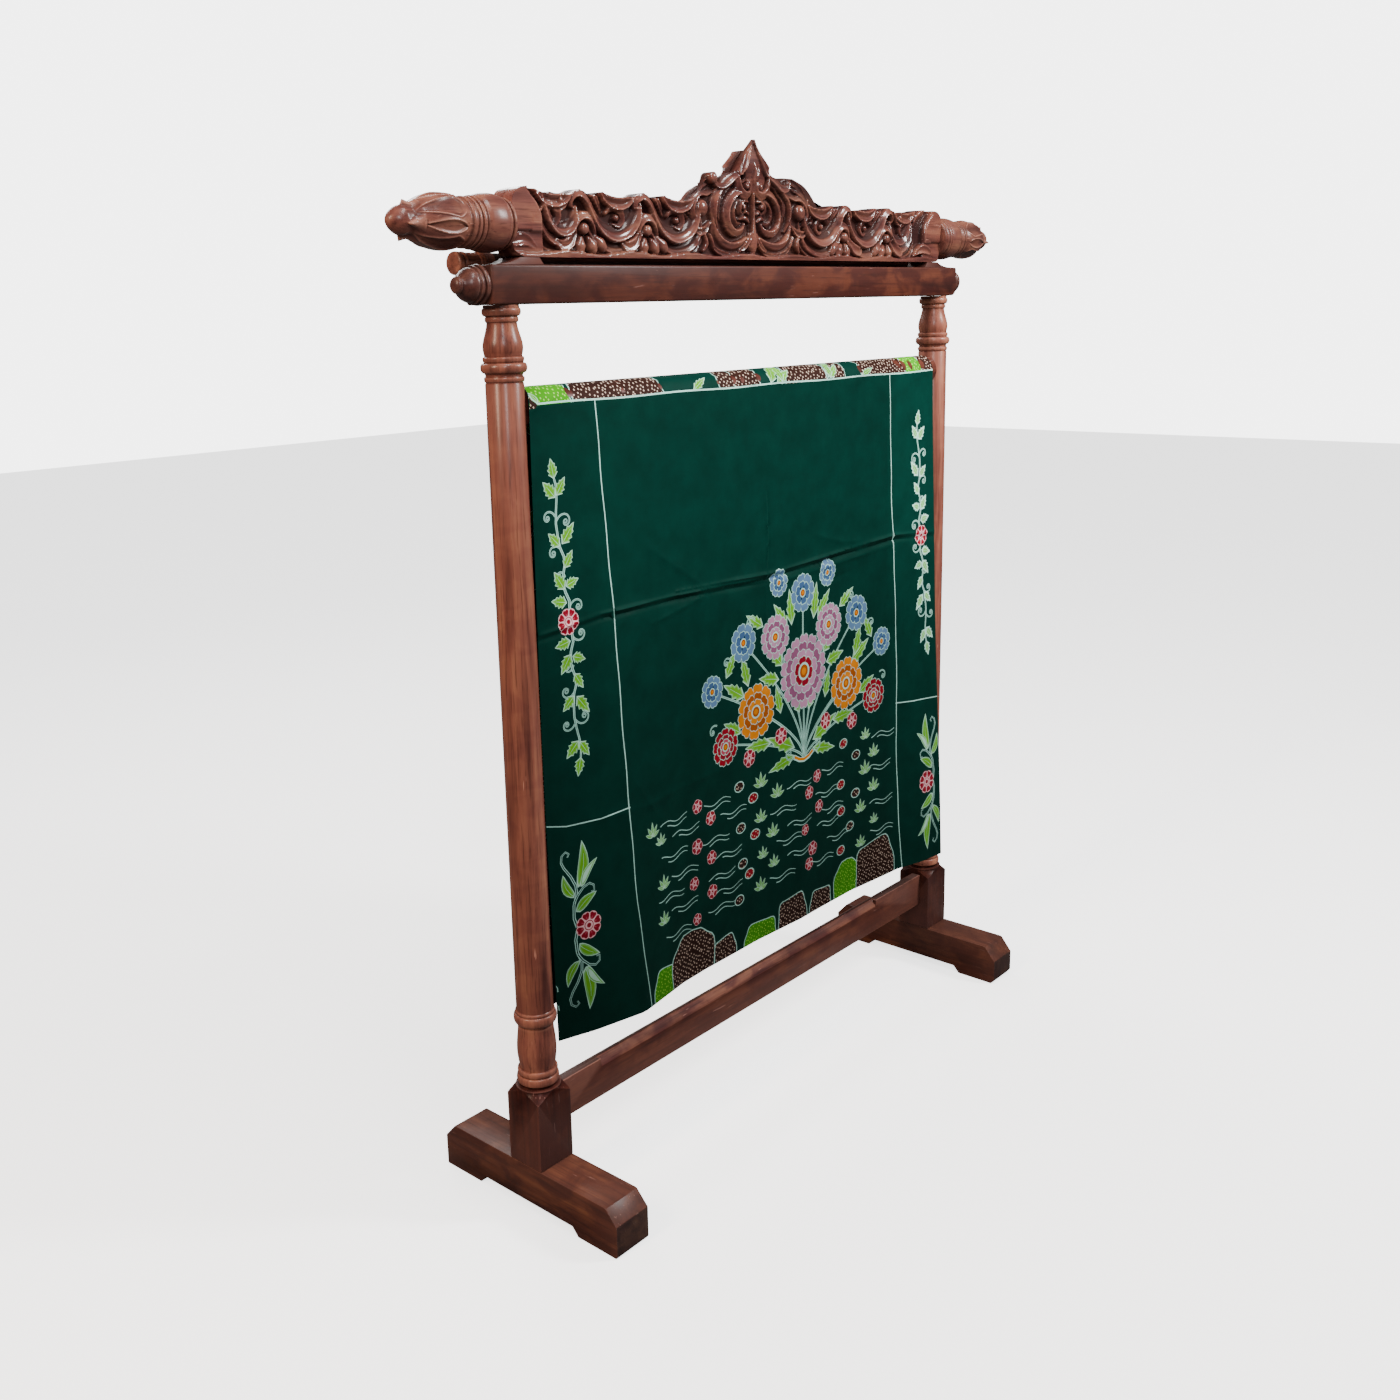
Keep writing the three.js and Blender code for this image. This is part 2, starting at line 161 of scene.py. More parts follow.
class Nodes:
    """A material's node tree, with short ways to add and join nodes."""

    def __init__(self, name):
        self.material = bpy.data.materials.new(name)
        self.material.use_nodes = True
        self.tree = self.material.node_tree
        self.tree.nodes.clear()
        self.shader = self.tree.nodes.new("ShaderNodeBsdfPrincipled")
        output = self.tree.nodes.new("ShaderNodeOutputMaterial")
        self.tree.links.new(self.shader.outputs["BSDF"], output.inputs["Surface"])
        self.coordinates = self.tree.nodes.new("ShaderNodeTexCoord")

    def join(self, source, target):
        self.tree.links.new(source, target)

    def mapped(self, source, scale, turn=(0.0, 0.0, 0.0), move=(0.0, 0.0, 0.0)):
        node = self.tree.nodes.new("ShaderNodeMapping")
        node.inputs["Scale"].default_value = scale
        node.inputs["Rotation"].default_value = turn
        node.inputs["Location"].default_value = move
        self.join(source, node.inputs["Vector"])
        return node.outputs["Vector"]

    def noise(self, vector, scale, detail=4.0, roughness=0.5, distortion=0.0):
        node = self.tree.nodes.new("ShaderNodeTexNoise")
        node.inputs["Scale"].default_value = scale
        node.inputs["Detail"].default_value = detail
        node.inputs["Roughness"].default_value = roughness
        node.inputs["Distortion"].default_value = distortion
        self.join(vector, node.inputs["Vector"])
        return node.outputs["Fac"]

    def ramp(self, source, stops, smooth=False):
        node = self.tree.nodes.new("ShaderNodeValToRGB")
        if smooth:
            node.color_ramp.interpolation = "EASE"
        points = node.color_ramp.elements
        for element, (place, colour) in zip(points, stops):
            element.position = place
            element.color = grey(colour)
        for place, colour in stops[2:]:
            element = points.new(place)
            element.color = grey(colour)
        self.join(source, node.inputs["Fac"])
        return node.outputs["Color"]

    def mix(self, factor, first, second, blend="MIX"):
        node = self.tree.nodes.new("ShaderNodeMix")
        node.data_type = "RGBA"
        node.blend_type = blend
        for socket, value in ((node.inputs[0], factor), (node.inputs[6], first), (node.inputs[7], second)):
            if isinstance(value, bpy.types.NodeSocket):
                self.join(value, socket)
            elif socket == node.inputs[0]:
                socket.default_value = value
            else:
                socket.default_value = grey(value)
        return node.outputs[2]

    def sums(self, operation, first, second, clamp=False):
        node = self.tree.nodes.new("ShaderNodeMath")
        node.operation = operation
        node.use_clamp = clamp
        for socket, value in ((node.inputs[0], first), (node.inputs[1], second)):
            if isinstance(value, bpy.types.NodeSocket):
                self.join(value, socket)
            else:
                socket.default_value = value
        return node.outputs["Value"]

    def attribute(self, name, output="Fac"):
        node = self.tree.nodes.new("ShaderNodeAttribute")
        node.attribute_name = name
        return node.outputs[output]

    def bump(self, heights):
        """Bump nodes in a chain: each height with its strength and distance in metres."""
        normal = None
        for height, strength, distance in heights:
            node = self.tree.nodes.new("ShaderNodeBump")
            node.inputs["Strength"].default_value = strength
            node.inputs["Distance"].default_value = distance
            self.join(height, node.inputs["Height"])
            if normal is not None:
                self.join(normal, node.inputs["Normal"])
            normal = node.outputs["Normal"]
        self.join(normal, self.shader.inputs["Normal"])


def grey(value):
    if isinstance(value, (int, float)):
        return (value, value, value, 1.0)
    return tuple(value) + (1.0,) if len(value) == 3 else tuple(value)


def varnished_wood(name, grain, tones, seed, gloss, carved=False, streaks=0.5, mottle=0.3, coat=0.3,
                   fade=1.0):
    """Brown varnished hardwood. grain is "x", "y" or "z"; tones are dark, middle and light.

    fade darkens the wood towards its left end.
    """
    nodes = Nodes(name)
    dark, middle, light = tones
    worn_tone = tuple(min(1.0, 1.7 * c + 0.03) for c in light)
    scratch_tone = tuple(min(1.0, 2.2 * c + 0.05) for c in light)
    pore_tone = tuple(0.35 * c for c in dark)
    grime_and_shade_tone = tuple(0.32 * c for c in dark)
    place = nodes.coordinates.outputs["Object"]
    axis = "xyz".index(grain)

    def stretched(ratio, turn=(0.0, 0.0, 0.0), shift=0.0):
        scale = [1.0, 1.0, 1.0]
        scale[axis] = ratio
        return nodes.mapped(place, scale, turn, (seed + shift, seed * 0.7, shift))

    bands = nodes.noise(stretched(0.06), 55.0, 6.0, 0.55, 0.4)
    broad = nodes.noise(stretched(0.22, shift=3.1), 9.0, 3.0, 0.5, 0.6)
    pores = nodes.noise(stretched(0.035, shift=7.7), 420.0, 3.0, 0.6)
    figure = nodes.ramp(bands, [(0.28, dark), (0.72, light), (0.5, middle)])
    patches = nodes.ramp(broad, [(0.3, (0.62, 0.56, 0.56)), (0.7, (1.34, 1.3, 1.2))])
    colour = nodes.mix(streaks, figure, patches, "MULTIPLY")
    turned_place = nodes.mapped(place, (1.0, 1.0, 1.7), (0.0, 0.7, 0.0), (seed, 4.0, 1.0))
    cloudy = nodes.noise(turned_place, 17.0, 3.0, 0.5, 0.5)
    cloudy = nodes.ramp(cloudy, [(0.4, (0.56, 0.42, 0.52)), (0.62, (1.5, 1.65, 1.3))], True)
    colour = nodes.mix(mottle, colour, cloudy, "MULTIPLY")
    if fade != 1.0:
        ends = nodes.tree.nodes.new("ShaderNodeSeparateXYZ")
        nodes.join(place, ends.inputs["Vector"])
        along = nodes.ramp(nodes.sums("ADD", ends.outputs["X"], 0.5), [(0.0, fade), (0.85, 1.0)])
        colour = nodes.mix(1.0, colour, along, "MULTIPLY")
    pore_mask = nodes.ramp(pores, [(0.56, 0.0), (0.66, 1.0)])
    colour = nodes.mix(nodes.sums("MULTIPLY", pore_mask, 0.45), colour, pore_tone)

    # Thin pale scratches and rubbed places
    scratch = nodes.noise(stretched(0.09, (0.25, 0.16, 0.3), 1.7), 260.0, 1.0, 0.4)
    where = nodes.noise(nodes.mapped(place, (1, 1, 1), move=(seed, 2.0, 5.0)), 14.0, 2.0, 0.5)
    scratch = nodes.ramp(scratch, [(0.705, 0.0), (0.725, 1.0)])
    scratch = nodes.sums("MULTIPLY", scratch, nodes.ramp(where, [(0.55, 0.0), (0.66, 1.0)]))
    colour = nodes.mix(nodes.sums("MULTIPLY", scratch, 0.5), colour, scratch_tone)

    # Rubbing, dirt and painted shade kept on the piece: above nought along edges, below nought in hollows,
    # where the darkening is partly dirt and partly painted shade
    wear_and_shade = nodes.attribute("wear_and_shade")
    rubbed = nodes.ramp(wear_and_shade, [(0.12, 0.0), (0.8, 1.0)])
    colour = nodes.mix(nodes.sums("MULTIPLY", rubbed, 0.42), colour, worn_tone)
    # Hollows are darkened towards a near-black tone, partly as dirt and partly as painted shade
    grime_and_shade = nodes.ramp(nodes.sums("MULTIPLY", wear_and_shade, -1.0), [(0.05, 0.0), (0.85, 1.0)])
    strength = 0.82 if carved else 0.7
    colour = nodes.mix(nodes.sums("MULTIPLY", grime_and_shade, strength), colour, grime_and_shade_tone)
    nodes.join(colour, nodes.shader.inputs["Base Color"])

    smudges = nodes.noise(nodes.mapped(place, (1, 1, 1), move=(0.0, seed, 1.0)), 38.0, 5.0, 0.6)
    rough = nodes.ramp(smudges, [(0.3, gloss - 0.07), (0.75, gloss + 0.15)])
    rough = nodes.mix(nodes.sums("MULTIPLY", grime_and_shade, 0.8), rough, 0.62)
    nodes.join(rough, nodes.shader.inputs["Roughness"])
    nodes.shader.inputs["Specular IOR Level"].default_value = 0.06
    nodes.join(nodes.ramp(grime_and_shade, [(0.0, coat), (0.6, coat * 0.15)]), nodes.shader.inputs["Coat Weight"])
    nodes.shader.inputs["Coat Roughness"].default_value = 0.12 if carved else 0.27
    waves = nodes.noise(stretched(0.3, shift=4.4), 26.0, 2.0, 0.5)
    nodes.bump([(waves, 0.25, 0.0012), (pores, 0.16, 0.0003), (bands, 0.06, 0.0004),
                (scratch, 0.3, 0.0003)])
    return nodes.material


def floor_finish(name, tone, glow):
    """Matt floor with a faint unevenness, and a glow for the seen one."""
    nodes = Nodes(name)
    cloudy = nodes.noise(nodes.coordinates.outputs["Object"], 1.5, 3.0)
    nodes.join(nodes.ramp(cloudy, [(0.2, tone * 0.97), (0.8, tone)]), nodes.shader.inputs["Base Color"])
    nodes.shader.inputs["Roughness"].default_value = 0.8
    nodes.shader.inputs["Specular IOR Level"].default_value = 0.0
    nodes.shader.inputs["Emission Color"].default_value = (1.0, 1.0, 1.0, 1.0)
    nodes.shader.inputs["Emission Strength"].default_value = glow
    return nodes.material


# Ways of making


def deselect():
    if bpy.context.object and bpy.context.object.mode != "OBJECT":
        bpy.ops.object.mode_set(mode="OBJECT")
    bpy.ops.object.select_all(action="DESELECT")


def named(obj, name):
    obj.name = name
    obj.data.name = name
    return obj


def work_on(obj):
    """Makes one object the selected and active one."""
    deselect()
    obj.select_set(True)
    bpy.context.view_layer.objects.active = obj


def face_outward():
    """In edit mode, turns all faces of the active piece outward."""
    bpy.ops.mesh.select_all(action="SELECT")
    bpy.ops.mesh.normals_make_consistent(inside=False)


def eased(before, start, end, after, t):
    """The value t of the way from start to end on a smooth curve through all four."""
    return 0.5 * (2 * start + (end - before) * t + (2 * before - 5 * start + 4 * end - after) * t * t
                  + (3 * start - before - 3 * end + after) * t * t * t)


def profile_points(steps, fine=1.0):
    """The points along a turning profile, with beads, coves and swellings worked out."""
    points = []
    for step in steps:
        kind = step[0]
        if kind == "to":
            points.append((step[1], step[2]))
        elif kind in ("bead", "cove"):
            (a0, r0), a1, r1 = points[-1], step[1], step[2]
            bulge = step[3] if kind == "bead" else -step[3]
            count = max(6, round(abs(a1 - a0) * 0.8 * fine))
            for i in range(1, count + 1):
                angle = math.pi * i / count
                t = (1.0 - math.cos(angle)) / 2.0
                points.append((a0 + (a1 - a0) * t, r0 + (r1 - r0) * t + bulge * math.sin(angle)))
        else:
            through = step[1]
            for i in range(len(through) - 1):
                before = through[max(i - 1, 0)][1]
                after = through[min(i + 2, len(through) - 1)][1]
                (a0, r0), (a1, r1) = through[i], through[i + 1]
                count = max(2, round(abs(a1 - a0) / 3.0 * fine))
                for k in range(count):
                    t = k / count
                    points.append((a0 + (a1 - a0) * t, max(eased(before, r0, r1, after, t), 0.0)))
            points.append(through[-1])
    return points


def turned(name, points, at, axis, steps=64):
    """Spins a profile about an axis through at (mm). points are (distance along axis, radius)."""
    along = Vector(axis).normalized()
    aside = Vector((0, -1, 0)) if abs(along.y) < 0.5 else Vector((1, 0, 0))
    chain = [(points[0][0], 0.0)] + [p for p in points if p[1] > 0.0] + [(points[-1][0], 0.0)]
    deselect()
    bpy.ops.mesh.primitive_circle_add(vertices=len(chain), radius=0.05, fill_type="NOTHING")
    obj = named(bpy.context.object, name)
    base = Vector(at)
    for vertex, (a, r) in zip(obj.data.vertices, chain):
        vertex.co = (base + along * a + aside * r) * MM
    last = len(chain) - 1
    bpy.ops.object.mode_set(mode="EDIT")
    bpy.ops.mesh.select_mode(type="EDGE")
    bpy.ops.mesh.select_all(action="DESELECT")
    bpy.ops.object.mode_set(mode="OBJECT")
    for edge in obj.data.edges:
        edge.select = set(edge.vertices) == {0, last}
    bpy.ops.object.mode_set(mode="EDIT")
    bpy.ops.mesh.delete(type="EDGE")
    bpy.ops.mesh.select_mode(type="VERT")
    bpy.ops.mesh.select_all(action="SELECT")
    bpy.ops.mesh.spin(steps=steps, angle=2 * math.pi, center=base * MM, axis=along)
    bpy.ops.mesh.select_all(action="SELECT")
    bpy.ops.mesh.remove_doubles(threshold=2e-6)
    face_outward()
    bpy.ops.object.mode_set(mode="OBJECT")
    return obj


def sawn(name, outline, across, near, far):
    """A plank sawn to an outline (mm) in the plane square to across, from near to far."""
    order = {"x": (1, 2, 0), "y": (0, 2, 1), "z": (0, 1, 2)}[across]
    deselect()
    bpy.ops.mesh.primitive_circle_add(vertices=len(outline), radius=0.05, fill_type="NGON")
    obj = named(bpy.context.object, name)
    for vertex, (a, b) in zip(obj.data.vertices, outline):
        place = [0.0, 0.0, 0.0]
        place[order[0]], place[order[1]], place[order[2]] = a * MM, b * MM, near * MM
        vertex.co = place
    step = [0.0, 0.0, 0.0]
    step[order[2]] = (far - near) * MM
    bpy.ops.object.mode_set(mode="EDIT")
    bpy.ops.mesh.select_all(action="SELECT")
    bpy.ops.mesh.extrude_region_move(TRANSFORM_OT_translate={"value": step})
    face_outward()
    bpy.ops.object.mode_set(mode="OBJECT")
    return obj


def soften(obj, width, segments=3, angle=25.0):
    """Rounds the sharp edges of a piece."""
    bevel = obj.modifiers.new("edges", "BEVEL")
    bevel.width = width * MM
    bevel.segments = segments
    bevel.limit_method = "ANGLE"
    bevel.angle_limit = math.radians(angle)
    apply_modifier(obj, bevel)


def apply_modifier(obj, modifier):
    work_on(obj)
    bpy.ops.object.modifier_apply(modifier=modifier.name)


def cut_with(obj, tool, operation="DIFFERENCE"):
    """Cuts a piece with a tool shape, which is then taken away."""
    boolean = obj.modifiers.new("cut", "BOOLEAN")
    boolean.operation = operation
    boolean.solver = "EXACT"
    boolean.object = tool
    apply_modifier(obj, boolean)
    bpy.data.objects.remove(tool, do_unlink=True)


def joined(name, pieces):
    deselect()
    for piece in pieces:
        piece.select_set(True)
    bpy.context.view_layer.objects.active = pieces[0]
    bpy.ops.object.join()
    return named(bpy.context.object, name)


def rub(obj, strength, rounds=2):
    """Keeps on each vertex how far it stands out, for rubbed edges, or lies in a hollow, for dirt and painted
    shade.
    """
    mesh = obj.data
    count = len(mesh.vertices)
    co = np.empty(count * 3)
    mesh.vertices.foreach_get("co", co)
    co = co.reshape(-1, 3)
    normals = np.empty(count * 3)
    mesh.vertex_normals.foreach_get("vector", normals)
    normals = normals.reshape(-1, 3)
    edges = np.empty(len(mesh.edges) * 2, dtype=np.int64)
    mesh.edges.foreach_get("vertices", edges)
    a, b = edges.reshape(-1, 2).T
    span = co[b] - co[a]
    length = np.maximum(np.linalg.norm(span, axis=1), 1e-7)
    turn = span / length[:, None]
    value = np.zeros(count)
    links = np.zeros(count)
    np.add.at(value, a, -np.einsum("ij,ij->i", turn, normals[a]))
    np.add.at(value, b, np.einsum("ij,ij->i", turn, normals[b]))
    np.add.at(links, a, 1)
    np.add.at(links, b, 1)
    value /= np.maximum(links, 1)
    for _ in range(rounds):
        total = np.zeros(count)
        np.add.at(total, a, value[b])
        np.add.at(total, b, value[a])
        value = 0.5 * value + 0.5 * total / np.maximum(links, 1)
    value = np.clip(value * 2.4 * strength, -1.0, 1.0)
    layer = mesh.attributes.new("wear_and_shade", "FLOAT", "POINT")
    layer.data.foreach_set("value", value.astype(np.float32))


def finish(obj, material, nodes, worn=1.0, angle=32.0):
    """Gives a piece its finish, its body and the CAD nodes it stands for."""
    if worn:
        rub(obj, worn)
    work_on(obj)
    bpy.ops.object.shade_smooth_by_angle(angle=math.radians(angle))
    obj.data.materials.clear()
    obj.data.materials.append(material)
    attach(obj, "root")
    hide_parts(*nodes)


def add_wood(obj, *looks, choose):
    """Gives a piece further woods, and each face the one that choose names for it."""
    for look in looks:
        obj.data.materials.append(look)
    for face in obj.data.polygons:
        face.material_index = choose(face)


# Settings


class StandFinishes(bpy.types.PropertyGroup):
    """Colours of the varnished wood."""

    dark: FloatVectorProperty(
        name="Dark grain", description="Colour of the dark grain lines", subtype="COLOR",
        size=3, min=0.0, max=1.0, default=(0.038, 0.0085, 0.0072),
    )
    middle: FloatVectorProperty(
        name="Middle tone", description="Colour of most of the wood", subtype="COLOR",
        size=3, min=0.0, max=1.0, default=(0.112, 0.0275, 0.0195),
    )
    light: FloatVectorProperty(
        name="Light grain", description="Colour of the light grain and rubbed edges", subtype="COLOR",
        size=3, min=0.0, max=1.0, default=(0.18, 0.052, 0.032),
    )
    gloss: FloatProperty(
        name="Varnish roughness", description="Roughness of the varnish", subtype="FACTOR",
        min=0.05, max=0.9, default=0.3,
    )


class StandSizes(bpy.types.PropertyGroup):
    """Sizes that a maker would change on the stand's visible pieces."""

    turning_steps: IntProperty(
        name="Turning steps", description="Faces round each turned piece", min=24, max=96, default=64,
    )


def wood(name, grain, shade, seed, warm=0.0, cool=0.0, gloss=None, **looks):
    """The stand's wood at a given shade; warm moves it from red to orange brown, cool to mauve."""
    settings = bpy.context.scene.stand_finishes
    tones = []
    for tone in (settings.dark, settings.middle, settings.light):
        red, green, blue = (shade * c for c in tone)
        tones.append((red * (1 + 0.1 * warm), green * (1 + 0.75 * warm + cool),
                      blue * (1 + 0.2 * warm + 1.4 * cool)))
    return varnished_wood(name, grain, tones, seed, gloss or settings.gloss, **looks)


# The stand and its stage


class STAND_OT_stage(bpy.types.Operator):
    """Sets the camera, the pale floor and the soft lights."""

    bl_idname = "stand.stage"
    bl_label = "Camera, floor and lights"

    def execute(self, context):
        camera = bpy.data.objects.new("camera", bpy.data.cameras.new("camera"))
        context.scene.collection.objects.link(camera)
        right = Vector((0.66940491, -0.74242978, -0.02636457))
        down = Vector((-0.18469148, -0.13194101, -0.9738997))
        ahead = Vector((0.71957357, 0.65680255, -0.22544241))
        turn = Matrix((right, -down, -ahead)).transposed()
        camera.matrix_world = Matrix.Translation((-1.85332, -1.43871, 1.33359)) @ turn.to_4x4()
        camera.data.sensor_width = 36.0
        camera.data.lens = 36.29
        camera.data.shift_x = 0.0372
        camera.data.shift_y = -0.045
        context.scene.camera = camera

        # The pale floor is what shows; a dim one in the same place is what the varnish mirrors
        for name, tone, glow, seen in (("floor", 0.62, 2.1, True), ("floor_mirrored", 0.12, 0.0, False)):
            deselect()
            bpy.ops.mesh.primitive_plane_add(size=24.0, location=(0.0, 0.0, 0.0 if seen else -0.0004))
            floor = named(context.object, name)
            bpy.ops.object.mode_set(mode="EDIT")
            bpy.ops.mesh.subdivide(number_cuts=3)
            bpy.ops.object.mode_set(mode="OBJECT")
            floor.data.materials.append(floor_finish(name, tone, glow))
            floor.visible_camera = seen
            floor.visible_diffuse = not seen
            floor.visible_glossy = not seen
            floor.visible_shadow = False

        lamps = [
            ("key", (1.5, -2.1, 2.8), 1.0, (0.45, 1.1), 165.0, (1.0, 0.98, 0.97)),
            ("left", (-3.1, 0.1, 2.6), 1.1, (0.3, 1.3), 120.0, (1.0, 0.74, 0.54)),
            ("near", (-2.4, -2.5, 2.7), 1.1, (0.28, 1.2), 62.0, (0.97, 0.98, 1.0)),
            ("overhead", (-0.6, -0.8, 3.2), 1.0, (0.3, 1.6), 62.0, (1.0, 0.97, 0.95)),
            ("back", (0.8, 2.7, 2.9), 0.9, (2.0, 1.0), 80.0, (1.0, 0.99, 0.98)),
        ]
        for name, place, aim, size, power, colour in lamps:
            data = bpy.data.lights.new(name, "AREA")
            data.shape = "RECTANGLE"
            data.size, data.size_y = size
            data.energy = power
            data.color = colour
            lamp = bpy.data.objects.new(name, data)
            context.scene.collection.objects.link(lamp)
            lamp.location = place
            sight = Vector((0.0, 0.0, aim)) - Vector(place)
            lamp.rotation_euler = sight.to_track_quat("-Z", "Y").to_euler()
        world = bpy.data.worlds.new("studio")
        world.use_nodes = True
        tree = world.node_tree
        rays = tree.nodes.new("ShaderNodeLightPath")
        background = tree.nodes["Background"]
        background.inputs["Color"].default_value = (1.0, 1.0, 1.0, 1.0)
        # Soft light all round, a dim room for the varnish to mirror, and a white sweep behind
        strength = None
        for ray, level in (("Is Glossy Ray", 0.12), ("Is Camera Ray", 5.0)):
            switch = tree.nodes.new("ShaderNodeMix")
            switch.inputs["A"].default_value = 0.62
            switch.inputs["B"].default_value = level
            tree.links.new(rays.outputs[ray], switch.inputs["Factor"])
            if strength is not None:
                tree.links.new(strength, switch.inputs["A"])
            strength = switch.outputs["Result"]
        tree.links.new(strength, background.inputs["Strength"])
        context.scene.world = world
        return {"FINISHED"}


class STAND_OT_posts(bpy.types.Operator):
    """Turns the two posts above their square blocks."""

    bl_idname = "stand.posts"
    bl_label = "Turned posts"

    def execute(self, context):
        steps = context.scene.stand_sizes.turning_steps
        for word, x, seed in (("left", -POST_X, 0.0), ("right", POST_X, 4.3)):
            half = BLOCK["side"] / 2
            outline = [(x - half, -half), (x + half, -half), (x + half, half), (x - half, half)]
            block = sawn("block_" + word, outline, "z", BLOCK["bottom"], BLOCK["top"])
            soften(block, 1.6, 2)
            pommel = [("to", 60.0, 62.0), ("to", 184.0, 62.0), ("to", 184.4, 49.4), ("to", 185.6, 47.6),
                      ("sweep", [(186.4, 46.4), (190.0, 41.8), (194.5, 37.2), (198.6, 34.2)]),
                      ("to", 199.4, 34.4), ("to", 201.0, 34.4), ("to", 201.4, 30.0)]
            tool = turned("pommel", profile_points(pommel), (x, 0, 0), (0, 0, 1), 96)
            cut_with(block, tool, "INTERSECT")
            column = turned("column_" + word, profile_points(POST_TURNING), (x, 0, 0), (0, 0, 1), steps)
            post = joined("post_%s_turned" % word, [block, column])
            # The right post's wood is paler than the left one's, as a painted highlight
            turned_wood = wood("post_wood_" + word, "z", 1.1 if x < 0 else 1.75, seed, warm=0.22, cool=0.18,
                               gloss=0.36, streaks=0.25, mottle=0.16)
            finish(post, turned_wood, ["post_" + word], worn=1.4)
            block_wood = wood("block_wood_" + word, "z", 0.32, seed + 2.0, cool=-0.1, gloss=0.5, mottle=0.5,
                              coat=0.06)
            # The block's front faces get a darker copy of its wood as painted shade
            front_shade_wood = wood("block_front_shade_" + word, "z", 0.2, seed + 2.0, cool=-0.2, gloss=0.5, mottle=0.5,
                              coat=0.04)
            add_wood(post, block_wood, front_shade_wood, choose=self.look_of)
        return {"FINISHED"}

    @staticmethod
    def look_of(face):
        """The column's wood, the block's sides or the block's front, darkened as painted shade."""
        if face.center.z >= (BLOCK["top"] + 1.0) * MM:
            return 0
        return 2 if face.normal.y < -0.7 else 1


class STAND_OT_rails(bpy.types.Operator):
    """Turns the rail that carries the cloth and the rail behind the beam."""

    bl_idname = "stand.rails"
    bl_label = "Cloth rail and rear rail"

    def execute(self, context):
        steps = context.scene.stand_sizes.turning_steps
        reach, radius, rounding = POST_X - 25.6, RAIL["radius"], 1.8
        profile = [(-reach, radius - rounding), (-reach + rounding, radius), (0.0, radius),
                   (reach - rounding, radius), (reach, radius - rounding)]
        rail = turned("cloth_rail_turned", profile, (0, 0, RAIL["z"]), (1, 0, 0), steps)
        finish(rail, wood("rail_wood", "x", 0.6, 2.0), ["cloth_rail"], worn=0.5)
        half = REAR_RAIL["half"]
        left = [(a - half, r) for a, r in profile_points(REAR_RAIL_TURNING)]
        points = left + [(-a, r) for a, r in reversed(left)]
        rear = turned("rear_rail_turned", points, (0, REAR_RAIL["y"], REAR_RAIL["z"]), (1, 0, 0), steps)
        rear_wood = wood("rear_rail_wood", "x", 1.3, 6.0, warm=0.2, cool=0.3)
        finish(rear, rear_wood, ["rear_rail"])
        # The rail's middle, behind the gap under the crest, is near black as painted shade
        add_wood(rear, wood("rear_rail_painted_shade", "x", 0.16, 6.0),
                 choose=lambda face: 1 if abs(face.center.x) < 0.5 else 0)
        return {"FINISHED"}


class STAND_OT_feet(bpy.types.Operator):
    """Saws the two sled feet, rounds their worn ends and hollows their undersides."""

    bl_idname = "stand.feet"
    bl_label = "Sled feet"

    def execute(self, context):
        for word, x, seed in (("left", -POST_X, 1.0), ("right", POST_X, 3.0)):
            front_low, front_high = (0.0, 52.0) if word == "left" else (5.0, 48.0)
            outline = [(96, 13), (108, 0), (187, 0), (188, 2), (188, 51), (166, 74.6), (163, 75),
                       (-163, 75), (-167, 74.2), (-188, front_high), (-188, 4 + front_low),
                       (-185, front_low), (-181, 0), (-108, 0), (-96, 13)]
            foot = sawn("foot_%s_sawn" % word, outline, "x", x - 34, x + 34)
            soften(foot, 2.6, 3)
            foot_wood = wood("foot_wood_" + word, "y", 0.34, seed, warm=0.18, gloss=0.45, streaks=0.9,
                             mottle=0.7, coat=0.15)
            finish(foot, foot_wood, ["foot_" + word], worn=1.6)
            end_wood = wood("foot_end_" + word, "y", 0.17, seed, cool=0.5, gloss=0.5, mottle=0.9, coat=0.06)
            add_wood(foot, end_wood,
                     choose=lambda face: 1 if abs(face.normal.y) > 0.9 and abs(face.center.y) > 0.18 else 0)
        return {"FINISHED"}


class STAND_OT_stretcher(bpy.types.Operator):
    """Planes the stretcher and its stopped bevels."""

    bl_idname = "stand.stretcher"
    bl_label = "Stretcher"

    def execute(self, context):
        outline = [(-15, 126), (12, 126), (12, 179), (3, 190), (-15, 190)]
        bar = sawn("stretcher_planed", outline, "x", -515.7, 515.7)
        waste = [(-21, 169.1), (2, 197.4), (-21, 197.4)]
        tool = sawn("waste", waste, "x", -428, 352)
        cut_with(bar, tool)
        soften(bar, 1.8, 2)
        bar_wood = wood("stretcher_wood", "x", 0.42, 5.0, warm=0.1, gloss=0.4, mottle=0.5, coat=0.2)
        finish(bar, bar_wood, ["stretcher"], worn=1.4)
        # The upward bevel is a paler copy of the wood as painted light, the flat top ends a darker one as
        # painted shade
        add_wood(bar, wood("stretcher_bevel_lit", "x", 0.8, 5.0, cool=0.4, gloss=0.5, mottle=0.6, coat=0.1),
                 wood("stretcher_top_shade", "x", 0.24, 5.0, cool=0.4, gloss=0.5, mottle=0.6, coat=0.05),
                 choose=self.look_of)
        return {"FINISHED"}

    @staticmethod
    def look_of(face):
        """The bar's wood, its bevel made paler as painted light, or its flat top made darker as painted
        shade.
        """
        if face.normal.z < 0.45 or face.normal.y > 0.1:
            return 0
        return 1 if face.normal.z < 0.95 else 2


